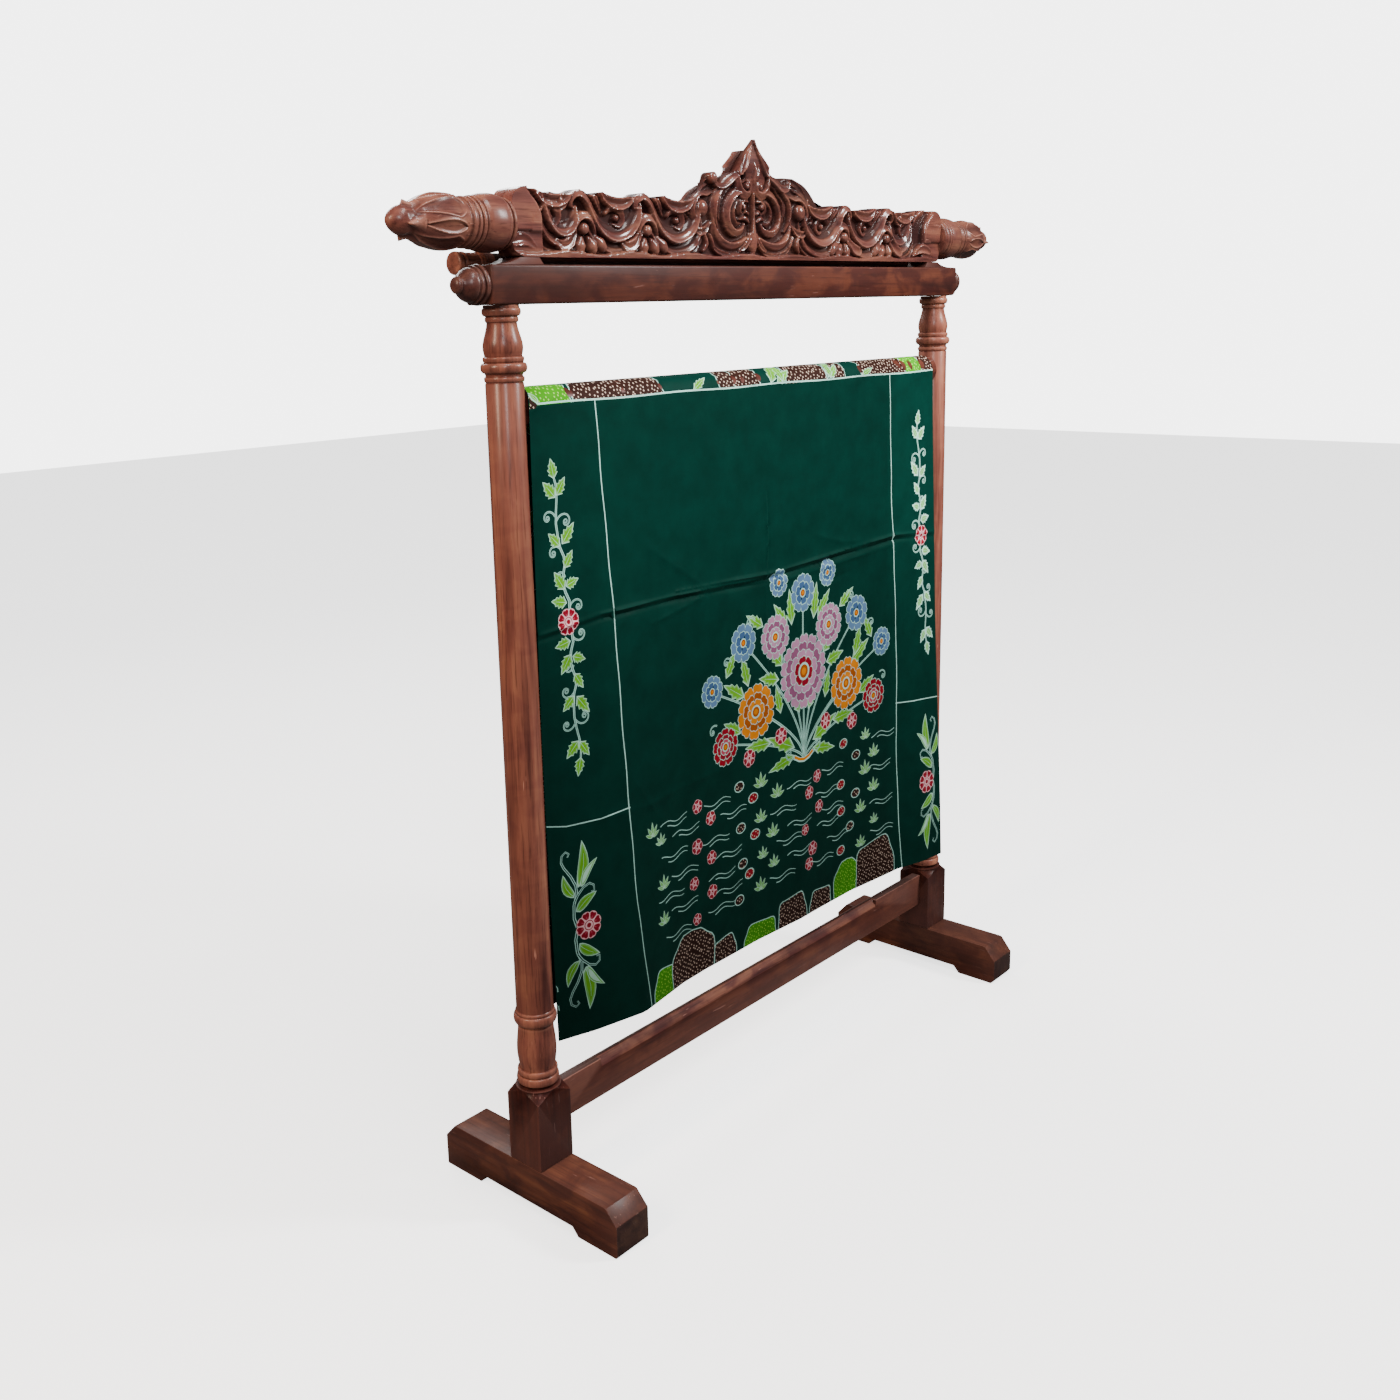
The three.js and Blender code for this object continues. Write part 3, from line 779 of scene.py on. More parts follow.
class STAND_OT_beam(bpy.types.Operator):
    """Planes the top beam and turns the knobs on its ends."""

    bl_idname = "stand.beam"
    bl_label = "Top beam and knobs"

    def execute(self, context):
        steps = context.scene.stand_sizes.turning_steps
        half, low, high = BEAM["half"], BEAM["bottom"], BEAM["top"]
        corner = [(half - 12 + 12 * math.sin(a), low + 12 - 12 * math.cos(a))
                  for a in (math.radians(15 * i) for i in range(7))]
        outline = [(-half, low)] + corner + [(half, high), (-half, high)]
        beam = sawn("top_beam_planed", outline, "y", -BEAM["depth"] / 2, BEAM["depth"] / 2)
        soften(beam, 3.0, 3)
        beam_wood = wood("beam_wood", "x", 0.36, 8.0, cool=-0.12, gloss=0.4, mottle=1.0, coat=0.12, fade=0.6)
        finish(beam, beam_wood, ["top_beam"], worn=1.2)
        profile = profile_points(KNOB_TURNING, 1.6)
        for word, side in (("left", -1), ("right", 1)):
            start = (side * (half + JOINT_GAP), 0, (low + high) / 2)
            knob = turned("knob_%s_turned" % word, profile, start, (side, 0, 0), steps)
            knob_wood = wood("knob_wood_" + word, "x", 0.56, 2.5 * side, cool=0.45, gloss=0.4)
            finish(knob, knob_wood, ["knob_" + word], worn=1.2)
        return {"FINISHED"}


# Batik cloth

# The sheet as it hangs (mm). Across is x; along runs up the front flap as height,
# over the rail as arc length, and on down the back flap
CLOTH = {
    "radius": 27.55, "front_hem": 250.0, "back_hem": 292.0, "left_rail": -522.4, "left_front": -533.0,
    "left_hem": -508.0, "right_rail": 507.0, "right_hem": 514.0, "swing_power": 1.3, "pitch": 14.0,
}
RAIL_TOP = RAIL["z"] + math.pi * CLOTH["radius"]
SHEET_END = RAIL_TOP + RAIL["z"] - CLOTH["back_hem"]
PANEL = 964.0
# How far the flaps' hems hang out towards the back (mm), at shares of the way across
SWING_ACROSS = [0.0, 0.06, 0.15, 0.28, 0.46, 0.58, 0.74, 0.88, 0.94, 1.0]
SWING_FRONT = [-4.0, -24.0, -44.0, -24.0, -21.0, -30.0, -26.0, -39.0, -57.0, -64.0]
SWING_BACK = [27.0, 31.0, 38.0, 33.0, 29.0, 36.0, 41.0, 34.0, 30.0, 29.0]

# Folds left from packing and hanging: points (across, along), depth and half width in mm
CREASES = [
    ([(-531, 892), (-410, 904), (-240, 903), (-120, 899), (-1, 893)], 4.6, 3.0),
    ([(-528, 884), (-410, 896), (-240, 895), (-120, 891), (-1, 885)], -4.4, 3.2),
    ([(-240, 909), (-120, 905), (-1, 900), (150, 906), (376, 915), (507, 905)], 5.0, 3.0),
    ([(-120, 896), (-1, 891), (150, 897), (376, 906), (507, 896)], -5.0, 3.2),
    ([(-1, 881), (150, 886), (260, 891), (376, 898)], 2.0, 3.6),
    ([(-11, 1040), (-7, 960), (-11, 890)], 3.0, 3.0),
    ([(-5, 1036), (-1, 960), (-4, 890)], -2.6, 3.0),
    ([(-11, 880), (-12, 800), (-6, 700)], 1.4, 3.6),
    ([(-300, 985), (-225, 940), (-170, 905)], 1.8, 7.0),
    ([(-300, 868), (-225, 880), (-150, 896)], 2.0, 4.4),
    ([(120, 950), (210, 925), (300, 915)], 1.8, 6.0),
    ([(150, 872), (185, 862), (240, 868)], -2.0, 6.0),
    ([(-200, 1180), (-120, 1080), (-60, 980)], 1.4, 16.0),
    ([(300, 1190), (330, 1060), (345, 960)], -1.6, 14.0),
    ([(60, 1150), (120, 1060), (150, 970)], -1.3, 20.0),
    ([(-500, 600), (-330, 585), (-100, 592)], 1.6, 7.0),
    ([(-360, 640), (-300, 560), (-250, 520)], 1.6, 6.0),
    ([(-531, 1204), (-512, 1212), (-498, 1228)], 1.6, 3.5),
]

DYES = {
    "ground": (0, 43, 35), "line": (164, 210, 197), "mint": (168, 214, 190), "leaf": (112, 172, 92),
    "leaf_deep": (96, 160, 30), "stem": (78, 128, 108), "petal": (128, 12, 32), "petal_edge": (222, 170, 174),
    "petal_pale": (172, 62, 82), "brown": (44, 25, 20), "field": (56, 138, 0), "blue": (84, 114, 148),
    "blue_deep": (58, 86, 124), "lilac": (168, 120, 148), "lilac_deep": (130, 74, 106),
    "mustard": (200, 116, 4), "mustard_deep": (150, 72, 4), "red": (134, 10, 28),
}


def dyed(name):
    """A dye's colour for the shader, from its everyday 0-255 values."""
    return tuple((c / 255.0 + 0.055) ** 2.4 / 1.055 ** 2.4 if c > 10 else c / 255.0 / 12.92
                 for c in DYES[name])


def cloth_edges(along):
    """Left and right edge of the sheet (mm) at a place along it."""
    if along <= RAIL["z"]:
        drop = (RAIL["z"] - along) / (RAIL["z"] - CLOTH["front_hem"])
        left = CLOTH["left_front"] + (CLOTH["left_hem"] - CLOTH["left_front"]) * drop ** 2.2
        return left, CLOTH["right_rail"] + (CLOTH["right_hem"] - CLOTH["right_rail"]) * drop
    if along < RAIL_TOP:
        angle = (along - RAIL["z"]) / CLOTH["radius"]
        lean = math.cos(angle) ** 2 if angle < math.pi / 2 else 0.0
        return CLOTH["left_rail"] + (CLOTH["left_front"] - CLOTH["left_rail"]) * lean, CLOTH["right_rail"]
    drop = (along - RAIL_TOP) / (SHEET_END - RAIL_TOP)
    return CLOTH["left_rail"], CLOTH["right_rail"] + (CLOTH["right_hem"] - CLOTH["right_rail"]) * drop


def crease_height(points):
    """How far each creased point stands out of the sheet (mm)."""
    height = np.zeros(len(points))
    for number, (path, depth, half) in enumerate(CREASES):
        best = np.full(len(points), 1e9)
        fade = np.zeros(len(points))
        total = sum(math.dist(a, b) for a, b in zip(path, path[1:]))
        walked = 0.0
        for a, b in zip(path, path[1:]):
            start, span = np.array(a, float), np.array(b, float) - np.array(a, float)
            length = float(np.linalg.norm(span))
            t = np.clip(((points - start) @ span) / (length * length), 0.0, 1.0)
            apart = np.linalg.norm(points - start - t[:, None] * span, axis=1)
            place = (walked + t * length) / total
            nearer = apart < best
            best = np.where(nearer, apart, best)
            uneven = 0.75 + 0.25 * np.sin(place * 23.0 + number)
            rising = np.sin(np.pi * np.clip(place * 0.92 + 0.04, 0, 1)) ** 0.5
            fade = np.where(nearer, rising * uneven, fade)
            walked += length
        height += depth * fade / (1.0 + (best / half) ** 2) ** 1.5
    return height


def cloth_place(points):
    """Sheet points (across, along) in mm, moved to where the cloth hangs, in metres."""
    across_mm, along = points[:, 0], points[:, 1]
    edges = np.array([cloth_edges(v) for v in along])
    across = np.clip((across_mm - edges[:, 0]) / (edges[:, 1] - edges[:, 0]), 0.0, 1.0)
    radius, rail = CLOTH["radius"], RAIL["z"]
    proud = crease_height(points)
    front_drop = np.clip((rail - along) / (rail - CLOTH["front_hem"]), 0.0, 1.0)
    back_drop = np.clip((along - RAIL_TOP) / (SHEET_END - RAIL_TOP), 0.0, 1.0)
    power = CLOTH["swing_power"]
    ripple = 1.5 * np.sin(across * 17.0 + 0.7) * np.sin(along * 0.011 + across * 3.0)
    front_swing = np.interp(across, SWING_ACROSS, SWING_FRONT)
    back_swing = np.interp(across, SWING_ACROSS, SWING_BACK)
    front_y = -radius + (front_swing + radius) * front_drop ** power
    front_y = front_y - proud + ripple * front_drop
    back_y = radius + (back_swing - radius) * back_drop ** power
    back_y = back_y + proud + ripple * back_drop
    angle = np.clip((along - rail) / radius, 0.0, math.pi)
    over = radius + proud * 0.6
    parts = [along <= rail, along < RAIL_TOP]
    y = np.select(parts, [front_y, -over * np.cos(angle)], back_y)
    z = np.select(parts, [along, rail + over * np.sin(angle)], rail + RAIL_TOP - along)
    return np.stack([across_mm, y, z], axis=1) * MM


# A leaf's outline: share of its length and of its half width
TOOTHED_LEAF = [(0.0, 0.05), (0.12, 0.42), (0.27, 0.98), (0.33, 0.66), (0.49, 1.0), (0.55, 0.58),
                (0.69, 0.72), (0.75, 0.4), (0.87, 0.26), (1.0, 0.0)]
PLAIN_LEAF = [(t, math.sin(math.pi * t ** 0.78) ** 0.8)
              for t in (0.02, 0.12, 0.25, 0.4, 0.56, 0.72, 0.87, 1.0)]
# A petal's outline: share of its half angle and of the flower's radius
PETAL = [(-0.6, 0.44), (-0.95, 0.62), (-1.0, 0.82), (-0.62, 0.94), (-0.2, 0.91), (0.0, 0.87), (0.2, 0.91),
         (0.62, 0.94), (1.0, 0.82), (0.95, 0.62), (0.6, 0.44)]
PETAL_HEART = [(-0.3, 0.46), (-0.18, 0.6), (0.0, 0.68), (0.18, 0.6), (0.3, 0.46)]
BLOOM_PETAL = [(-0.12, 0.3), (-0.7, 0.5), (-1.0, 0.76), (-0.78, 0.94), (-0.36, 1.0), (0.0, 0.95), (0.36, 1.0),
               (0.78, 0.94), (1.0, 0.76), (0.7, 0.5), (0.12, 0.3)]


def around(x, v, radius, angle):
    """The point at a radius and angle from a centre."""
    return (x + radius * math.cos(angle), v + radius * math.sin(angle))


class Print:
    """The dyed outlines of the batik, painted in the order in which they are added."""

    def __init__(self):
        self.shapes = []
        self.shift = 0.0
        self.aside = 0.0

    def add(self, points, dye, dots=0.0):
        area = sum(a[0] * b[1] - b[0] * a[1] for a, b in zip(points, points[1:] + points[:1]))
        points = [(x + self.aside, v + self.shift) for x, v in points]
        if abs(area) > 0.5:
            self.shapes.append((points if area > 0 else points[::-1], dye, dots))

    def strip(self, path, width, dye, end=None):
        """A line of a given width, tapering to end."""
        end = width if end is None else end
        left, right = [], []
        for i, (x, v) in enumerate(path):
            x0, v0 = path[max(i - 1, 0)]
            x1, v1 = path[min(i + 1, len(path) - 1)]
            length = math.hypot(x1 - x0, v1 - v0) or 1.0
            half = (width + (end - width) * i / (len(path) - 1)) / 2.0
            nx, nv = -(v1 - v0) / length * half, (x1 - x0) / length * half
            left.append((x + nx, v + nv))
            right.append((x - nx, v - nv))
        self.add(left + right[::-1], dye)

    def stem(self, path, width=4.6, end=None, heart="stem"):
        """A double wax line with the cloth's colour between."""
        end = width if end is None else end
        self.strip(path, width, "line", end)
        self.strip(path, width * 0.42, heart, end * 0.4)

    def leaf(self, base, heading, length, width, teeth=0, dyes=("mint", "leaf", "leaf_deep"), bend=0.0):
        """A leaf with a wax outline, a body and a deeper heart."""
        cosine, sine = math.cos(heading), math.sin(heading)

        def blade(inset, start, stop, reach=1.0):
            sides = []
            for sign in (1, -1):
                side = []
                for t, share in (TOOTHED_LEAF if teeth else PLAIN_LEAF):
                    t = start + (stop - start) * t
                    half = max(width / 2.0 * share * reach - inset, 0.0) * sign
                    along = t * length
                    half += bend * math.sin(math.pi * t) * length
                    side.append((base[0] + cosine * along - sine * half,
                                 base[1] + sine * along + cosine * half))
                sides.append(side)
            return sides[0] + sides[1][::-1][1:-1]

        self.add(blade(0.0, 0.0, 1.0), dyes[0])
        self.add(blade(0.8, 0.05, 0.95), dyes[1])
        self.add(blade(1.2, 0.1, 0.86, 0.76), dyes[2])
        vein = [(base[0] + cosine * t * length - sine * bend * math.sin(math.pi * t) * length,
                 base[1] + sine * t * length + cosine * bend * math.sin(math.pi * t) * length)
                for t in (0.04, 0.25, 0.5, 0.72)]
        self.strip(vein, 0.8, dyes[0], 0.4)

    def curl(self, start, heading, hand, size, turns=1.9):
        """A tendril that winds up to one side."""
        path = [start]
        count = 30
        for i in range(count):
            t = i / count
            heading += hand * math.radians(360.0 * turns) * (0.35 + 1.3 * t) / count
            step = size * 6.4 * (1.0 - 0.72 * t) / count
            path.append(around(*path[-1], step, heading))
        self.stem(path, 2.9, 1.9)

    def flower(self, x, v, radius, petals=8, dyes=("petal_edge", "petal", "petal_pale"), turn=0.3):
        """An open flower of scalloped petals round a ringed heart."""
        scallops = []
        for i in range(petals * 6):
            angle = 2 * math.pi * i / (petals * 6)
            reach = radius * (0.88 + (1 - 0.88) * abs(math.cos(petals * angle / 2)) ** 0.6)
            scallops.append(around(x, v, reach, angle + turn))
        self.add(scallops, dyes[0])
        half = math.pi / petals * 0.86
        for k in range(petals):
            middle = turn + 2 * math.pi * k / petals
            for outline, dye in ((PETAL, dyes[1]), (PETAL_HEART, dyes[2])):
                self.add([around(x, v, radius * r, middle + a * half) for a, r in outline], dye)
        for reach, dye in ((0.44, dyes[0]), (0.36, dyes[1]), (0.3, dyes[0]), (0.17, dyes[1])):
            self.disc(x, v, radius * reach, dye)

    def disc(self, x, v, radius, dye, dots=0.0, flat=1.0):
        angles = [2 * math.pi * i / 14 for i in range(14)]
        self.add([(x + radius * math.cos(a), v + flat * radius * math.sin(a)) for a in angles], dye, dots)

    def bloom(self, x, v, radius, rings):
        """A full flower: rings of (petals, reach, dye), from the outside in."""
        for number, (petals, reach, dye) in enumerate(rings):
            for k in range(petals):
                middle = 2 * math.pi * (k + 0.5 * (number % 2)) / petals + 0.2
                half = math.pi / petals * 1.08
                for trim, colour in ((0.0, "line"), (1.2 / (radius * reach), dye)):
                    narrow = 1.0 - 1.5 * trim
                    self.add([around(x, v, radius * reach * (r - trim), middle + a * half * narrow)
                              for a, r in BLOOM_PETAL], colour)
        self.disc(x, v, radius * 0.24, "line")
        self.disc(x, v, radius * 0.18, "mustard_deep")
        self.disc(x, v, radius * 0.1, "mustard")

    def hill(self, x, width, height, dye, dots, base):
        """A rounded field filled with dots, standing on a border line."""
        for trim, colour, spots in ((0.0, "line", 0.0), (1.8, dye, dots)):
            points = [(x - width / 2 + trim, base)]
            for i in range(19):
                t = i / 18.0
                angle = math.pi * (1.0 - t)
                bumpy = 1.0 + 0.05 * math.sin(t * 17.0 + x)
                aside = math.copysign(abs(math.cos(angle)) ** 0.55, math.cos(angle))
                points.append((x + aside * (width / 2 - trim) * bumpy,
                               base + math.sin(angle) ** 0.62 * (height - trim) * bumpy))
            points.append((x + width / 2 - trim, base))
            self.add(points, colour, spots)

    def tuft(self, x, v, size):
        """A small tuft of five pointed leaves."""
        for lean in range(-2, 3):
            self.leaf((x, v), math.radians(90 + lean * 34), size * (1.0 - 0.12 * abs(lean)), size * 0.26)


def mirrored_vine(batik, tip, heart, hand, dyes=("mint", "leaf", "leaf_deep")):
    """The long vine: one half from flower to tip, and the same half turned downwards."""
    (x0, v0), (x1, v1) = heart, tip
    length = v1 - v0
    sway = [(0.05, 4), (0.14, 5), (0.2, 0), (0.26, -3), (0.32, -1), (0.38, 3), (0.44, 3), (0.5, -2),
            (0.58, -4), (0.66, -5), (0.74, -3), (0.82, 0), (0.9, 1), (0.955, -1)]
    for sign in (1, -1):
        lean = (x1 - x0) * (1 if sign > 0 else -1)

        def at(t, sideways=0.0):
            return (x0 + lean * t + hand * sideways, v0 + sign * length * t)

        def turned_to(degrees):
            angle = math.radians(degrees if hand > 0 else 180 - degrees)
            return angle if sign > 0 else -angle

        for t, sideways, degrees, curl_hand, size in (
                (0.1, 5, 62, -1, 15), (0.3, 2, 100, 1, 10), (0.47, 1, 112, 1, 15), (0.68, -4, 58, -1, 16),
                (0.71, -6, 118, 1, 13)):
            batik.curl(at(t, sideways), turned_to(degrees), curl_hand * hand * sign, size)
        path = [at(t, s * 1.1) for t, s in sway]
        batik.stem(path, 4.4, 3.4)
        for t, sideways, degrees, size, width in (
                (0.13, 1, 168, 30, 20), (0.22, -1, 124, 34, 21), (0.24, 1, 18, 27, 18),
                (0.36, 2, 56, 30, 18), (0.51, -2, 136, 30, 19), (0.52, 2, 50, 38, 21),
                (0.83, -2, 134, 33, 21), (0.84, 0, 55, 31, 19), (0.95, -1, 102, 30, 19)):
            batik.leaf(at(t, sideways), turned_to(degrees), size, width, 4, dyes)
    batik.flower(x0, v0, 20.0)


def low_vine(batik, tip, heart, end, hand):
    """The short vine of long smooth leaves, with its larger flower."""
    (x0, v0) = heart
    for sign, far in ((1, tip), (-1, end)):
        length = abs(far[1] - v0)

        def at(t, sideways=0.0):
            return (x0 + (far[0] - x0) * t + hand * sideways, v0 + sign * length * t)

        def turned_to(degrees):
            angle = math.radians(degrees if hand > 0 else 180 - degrees)
            return angle if sign > 0 else -angle

        stalk = [(0.02, -20), (0.14, -22), (0.3, -18), (0.44, -9), (0.55, -8), (0.68, -13), (0.8, -21),
                 (0.88, -24), (0.96, -21), (1.0, -13), (0.965, -8), (0.93, -12)]
        batik.stem([at(t, s) for t, s in stalk], 5.2, 2.6, "ground")
        branch = [(0.33, -17), (0.42, -8), (0.5, 4), (0.53, 16), (0.49, 23), (0.42, 22), (0.42, 16)]
        batik.stem([at(t, s) for t, s in branch], 4.4, 2.4, "ground")
        for t, sideways, degrees, size, width, bend in (
                (0.2, -17, 34, 46, 17, 0.08), (0.4, -13, 116, 46, 15, 0.12), (0.5, -4, 84, 76, 20, -0.08),
                (0.5, 0, 52, 52, 13, 0.1)):
            dyes = ("mint", "leaf", "leaf_deep" if size != 52 else "mint")
            batik.leaf(at(t, sideways), turned_to(degrees), size, width, 0, dyes, bend * hand * sign)
    batik.flower(x0, v0, 23.0)


def border_lines(batik):
    """The wax lines that part the side strips from the middle."""
    left = [(-405, 1214), (-403, 1180), (-396, 1069), (-383, 890), (-378, 766), (-370, 596), (-361, 438),
            (-346, 330), (-336, 250)]
    right = [(359, 1214), (363, 1120), (368, 981), (377, 867), (384, 720), (387, 614), (385, 514),
             (391, 390), (398, 284), (402, 250)]
    for path in (left, right):
        fine = []
        for (x0, v0), (x1, v1) in zip(path, path[1:]):
            count = max(1, int(abs(v1 - v0) / 18))
            fine += [(x0 + (x1 - x0) * i / count + 0.7 * math.sin((v0 + (v1 - v0) * i / count) * 0.05),
                      v0 + (v1 - v0) * i / count) for i in range(count)]
        batik.strip(fine + [path[-1]], 1.9, "line")
    batik.strip([(-530, 604), (-489, 596), (-425, 592), (-368, 595)], 1.9, "line")
    batik.strip([(384, 589), (430, 584), (470, 581), (520, 577)], 1.9, "line")


def sprinkled_ground(batik, seed):
    """The foot of the panel: scattered tufts, small flowers, dotted rounds and short waves."""
    chance = random.Random(seed)
    places = [(x, v, row) for row, v in enumerate(range(346, 546, 33)) for x in range(-320, 401, 60)]
    for number, (x, v, row) in enumerate(places):
        x += chance.uniform(-10, 10) + (30 if row % 2 else 0)
        v += chance.uniform(-7, 7)
        if not -318 < x < 342 or (v > 520 and -20 < x < 200):
            continue
        kind = (number + 2 * row) % 5
        if kind == 0:
            batik.tuft(x, v - 8, chance.uniform(20, 28))
        elif kind == 2:
            dyes = ("petal_edge", "red" if number % 2 else "petal", "petal_pale")
            batik.flower(x, v, chance.uniform(10, 14), 5, dyes, chance.uniform(0, 6))
        elif kind == 4:
            batik.disc(x, v, 13.5, "line", flat=0.72)
            batik.disc(x, v, 11.5, "red" if number % 2 else "brown", 1.0, 0.7)
        else:
            for low, start, count in ((0, -34, 12), (-8, -16, 9)):
                steps = [start + 6.5 * i for i in range(count)]
                wave = [(x + step, v + low + 3.6 * math.sin(step * 0.11 + x)) for step in steps]
                batik.strip(wave, 1.6, "line", 0.9)


def dotted_border(batik, fields, base):
    """Rounded dotted fields along a border; fields are (middle, width, height, brown or green)."""
    for x, width, height, brown in fields:
        dye, dots = ("brown", 1.0) if brown else ("field", 0.5)
        batik.hill(x, width, height, dye, dots, base)


def bouquet(batik):
    """A traditional bouquet in the middle of the panel, drawn for this cloth."""
    foot = (130.0, 552.0)
    heads = [(-78, 628), (2, 668), (-32, 790), (52, 786), (130, 712), (130, 850), (206, 780), (292, 784),
             (262, 660), (346, 622), (-112, 724), (370, 716)]
    shares = [i / 14 for i in range(15)]
    for x, v in heads:
        batik.stem([(foot[0] + (x - foot[0]) * t ** 1.5, foot[1] + (v - foot[1]) * t ** 0.9) for t in shares],
                   4.6, 3.4)
    for x, v, degrees, size, width in (
            (104, 580, 156, 84, 30), (156, 580, 24, 84, 30), (104, 566, 192, 74, 24), (156, 566, -12, 74, 24),
            (40, 604, 176, 70, 26), (220, 602, 2, 70, 26), (-40, 640, 150, 54, 24), (304, 634, 30, 54, 24),
            (-30, 700, 150, 66, 26), (-20, 716, 108, 60, 24), (280, 696, 36, 66, 26), (290, 708, 74, 60, 24),
            (62, 712, 168, 56, 26), (72, 734, 134, 60, 26), (200, 714, 12, 56, 26), (190, 734, 46, 60, 26),
            (86, 800, 130, 60, 24), (98, 800, 96, 66, 24), (174, 800, 52, 60, 24), (162, 800, 82, 66, 24),
            (20, 812, 150, 54, 22), (240, 808, 34, 54, 22), (-80, 742, 60, 52, 22), (342, 734, 118, 52, 22),
            (118, 640, 112, 56, 24), (144, 640, 66, 56, 24), (66, 650, 104, 54, 22), (196, 650, 76, 54, 22)):
        batik.leaf((x, v), math.radians(degrees), size, width, teeth=5)
    for x, v, degrees, hand, size in (
            (104, 562, 214, -1, 17), (156, 562, -34, 1, 17), (-2, 826, 120, 1, 14), (262, 824, 62, -1, 14),
            (-104, 668, 150, 1, 13), (368, 662, 30, -1, 13), (-66, 768, 110, 1, 12), (328, 762, 70, -1, 12)):
        batik.curl((x, v), math.radians(degrees), hand, size)
    blue = [(8, 1.0, "blue"), (6, 0.62, "blue_deep")]
    lilac = [(11, 1.0, "lilac"), (8, 0.72, "lilac_deep"), (6, 0.46, "lilac")]
    mustard = [(10, 1.0, "mustard"), (8, 0.7, "mustard_deep"), (6, 0.46, "mustard")]
    red = [(9, 1.0, "red"), (7, 0.68, "petal"), (5, 0.44, "petal_pale")]
    full = [(14, 1.0, "lilac"), (11, 0.8, "lilac_deep"), (8, 0.6, "lilac"), (6, 0.42, "petal")]
    for rings, radius, places in ((blue, 35, [(130, 852)]), (blue, 34, [(-34, 794), (294, 788)]),
                                  (blue, 28, [(-116, 728), (374, 720)]), (blue, 25, [(62, 880), (204, 876)]),
                                  (lilac, 40, [(52, 788), (208, 782)]), (mustard, 50, [(0, 668), (264, 662)]),
                                  (red, 34, [(-82, 626), (350, 620)]), (full, 68, [(132, 712)])):
        for x, v in places:
            batik.bloom(x, v, radius, rings)
    for x, v in ((66, 610), (198, 606), (-18, 590), (284, 586)):
        batik.flower(x, v, 16, 6, ("petal_edge", "petal", "petal_pale"))
    batik.strip([(102, 562), (116, 554), (130, 551), (144, 554), (158, 562)], 9.0, "line")
    batik.strip([(103, 562), (116, 555), (130, 552), (144, 555), (157, 562)], 5.0, "mustard")


def draw_print():
    """All dyed shapes of the cloth, front panel first and the same panel again over the rail."""
    batik = Print()
    for number, shift in enumerate((0.0, PANEL)):
        batik.shift = shift
        sprinkled_ground(batik, 11 + number)
        hem = [(-288, 76, 54, False), (-214, 118, 84, True), (-128, 62, 46, True), (-30, 90, 40, False),
               (60, 84, 58, True), (146, 70, 44, True), (232, 88, 70, False), (318, 120, 88, True)]
        if number == 0:
            dotted_border(batik, hem, 246.0)
        batik.aside = -38.0
        bouquet(batik)
        batik.aside = 0.0
        mirrored_vine(batik, (-491, 1120), (-474, 903), 1)
        low_vine(batik, (-479, 556), (-455, 429), (-466, 300), 1)
        mirrored_vine(batik, (450, 1122), (464, 903), -1, ("line", "mint", "leaf"))
        low_vine(batik, (478, 540), (470, 412), (480, 280), -1)
        border_lines(batik)
    batik.shift = 0.0
    batik.strip([(-515, 345), (-510, 341), (-509, 334)], 1.8, "line")
    batik.strip([(-512, 312), (-508, 309), (-507, 302)], 1.8, "line")
    over = [(-496, 94, 92, False), (-350, 190, 74, True), (-96, 62, 66, True), (-54, 66, 82, True),
            (104, 118, 78, True), (200, 40, 46, True), (350, 170, 86, True), (446, 66, 96, False),
            (498, 60, 78, True)]
    dotted_border(batik, over[:4], 1212.0)
    dotted_border(batik, over[4:], 1210.0)
    for x, degrees, size, width in (
            (6, 62, 54, 24), (22, 28, 48, 20), (38, 96, 50, 22), (168, 70, 46, 18), (172, 40, 44, 16),
            (176, 100, 40, 16), (-190, 28, 44, 15), (270, 18, 40, 13)):
        batik.leaf((x, 1212.5), math.radians(degrees), size, width, teeth=4)
    path = [(-530 + 12.3 * i, 1213.5 - 0.04 * i + 0.8 * math.sin(i * 0.31)) for i in range(87)]
    batik.strip(path, 2.6, "line")
    batik.leaf((-515, 1215), math.radians(126), 20, 9)
    batik.strip([(-534, 1227), (-524, 1220), (-515, 1213)], 2.0, "line")
    batik.add([(-534, 1225), (-524, 1218), (-517, 1213), (-522, 1208), (-534, 1208)], "brown", 1.0)
    return batik


def inside(shape, spots):
    """Which spots lie inside a closed outline, by how often it winds round them."""
    start, end = shape, np.roll(shape, -1, axis=0)
    x, v = spots[:, :1], spots[:, 1:]
    left = (end[:, 0] - start[:, 0]) * (v - start[:, 1]) - (x - start[:, 0]) * (end[:, 1] - start[:, 1])
    up = (start[:, 1] <= v) & (end[:, 1] > v) & (left > 0)
    down = (start[:, 1] > v) & (end[:, 1] <= v) & (left < 0)
    return (up.sum(axis=1) - down.sum(axis=1)) != 0


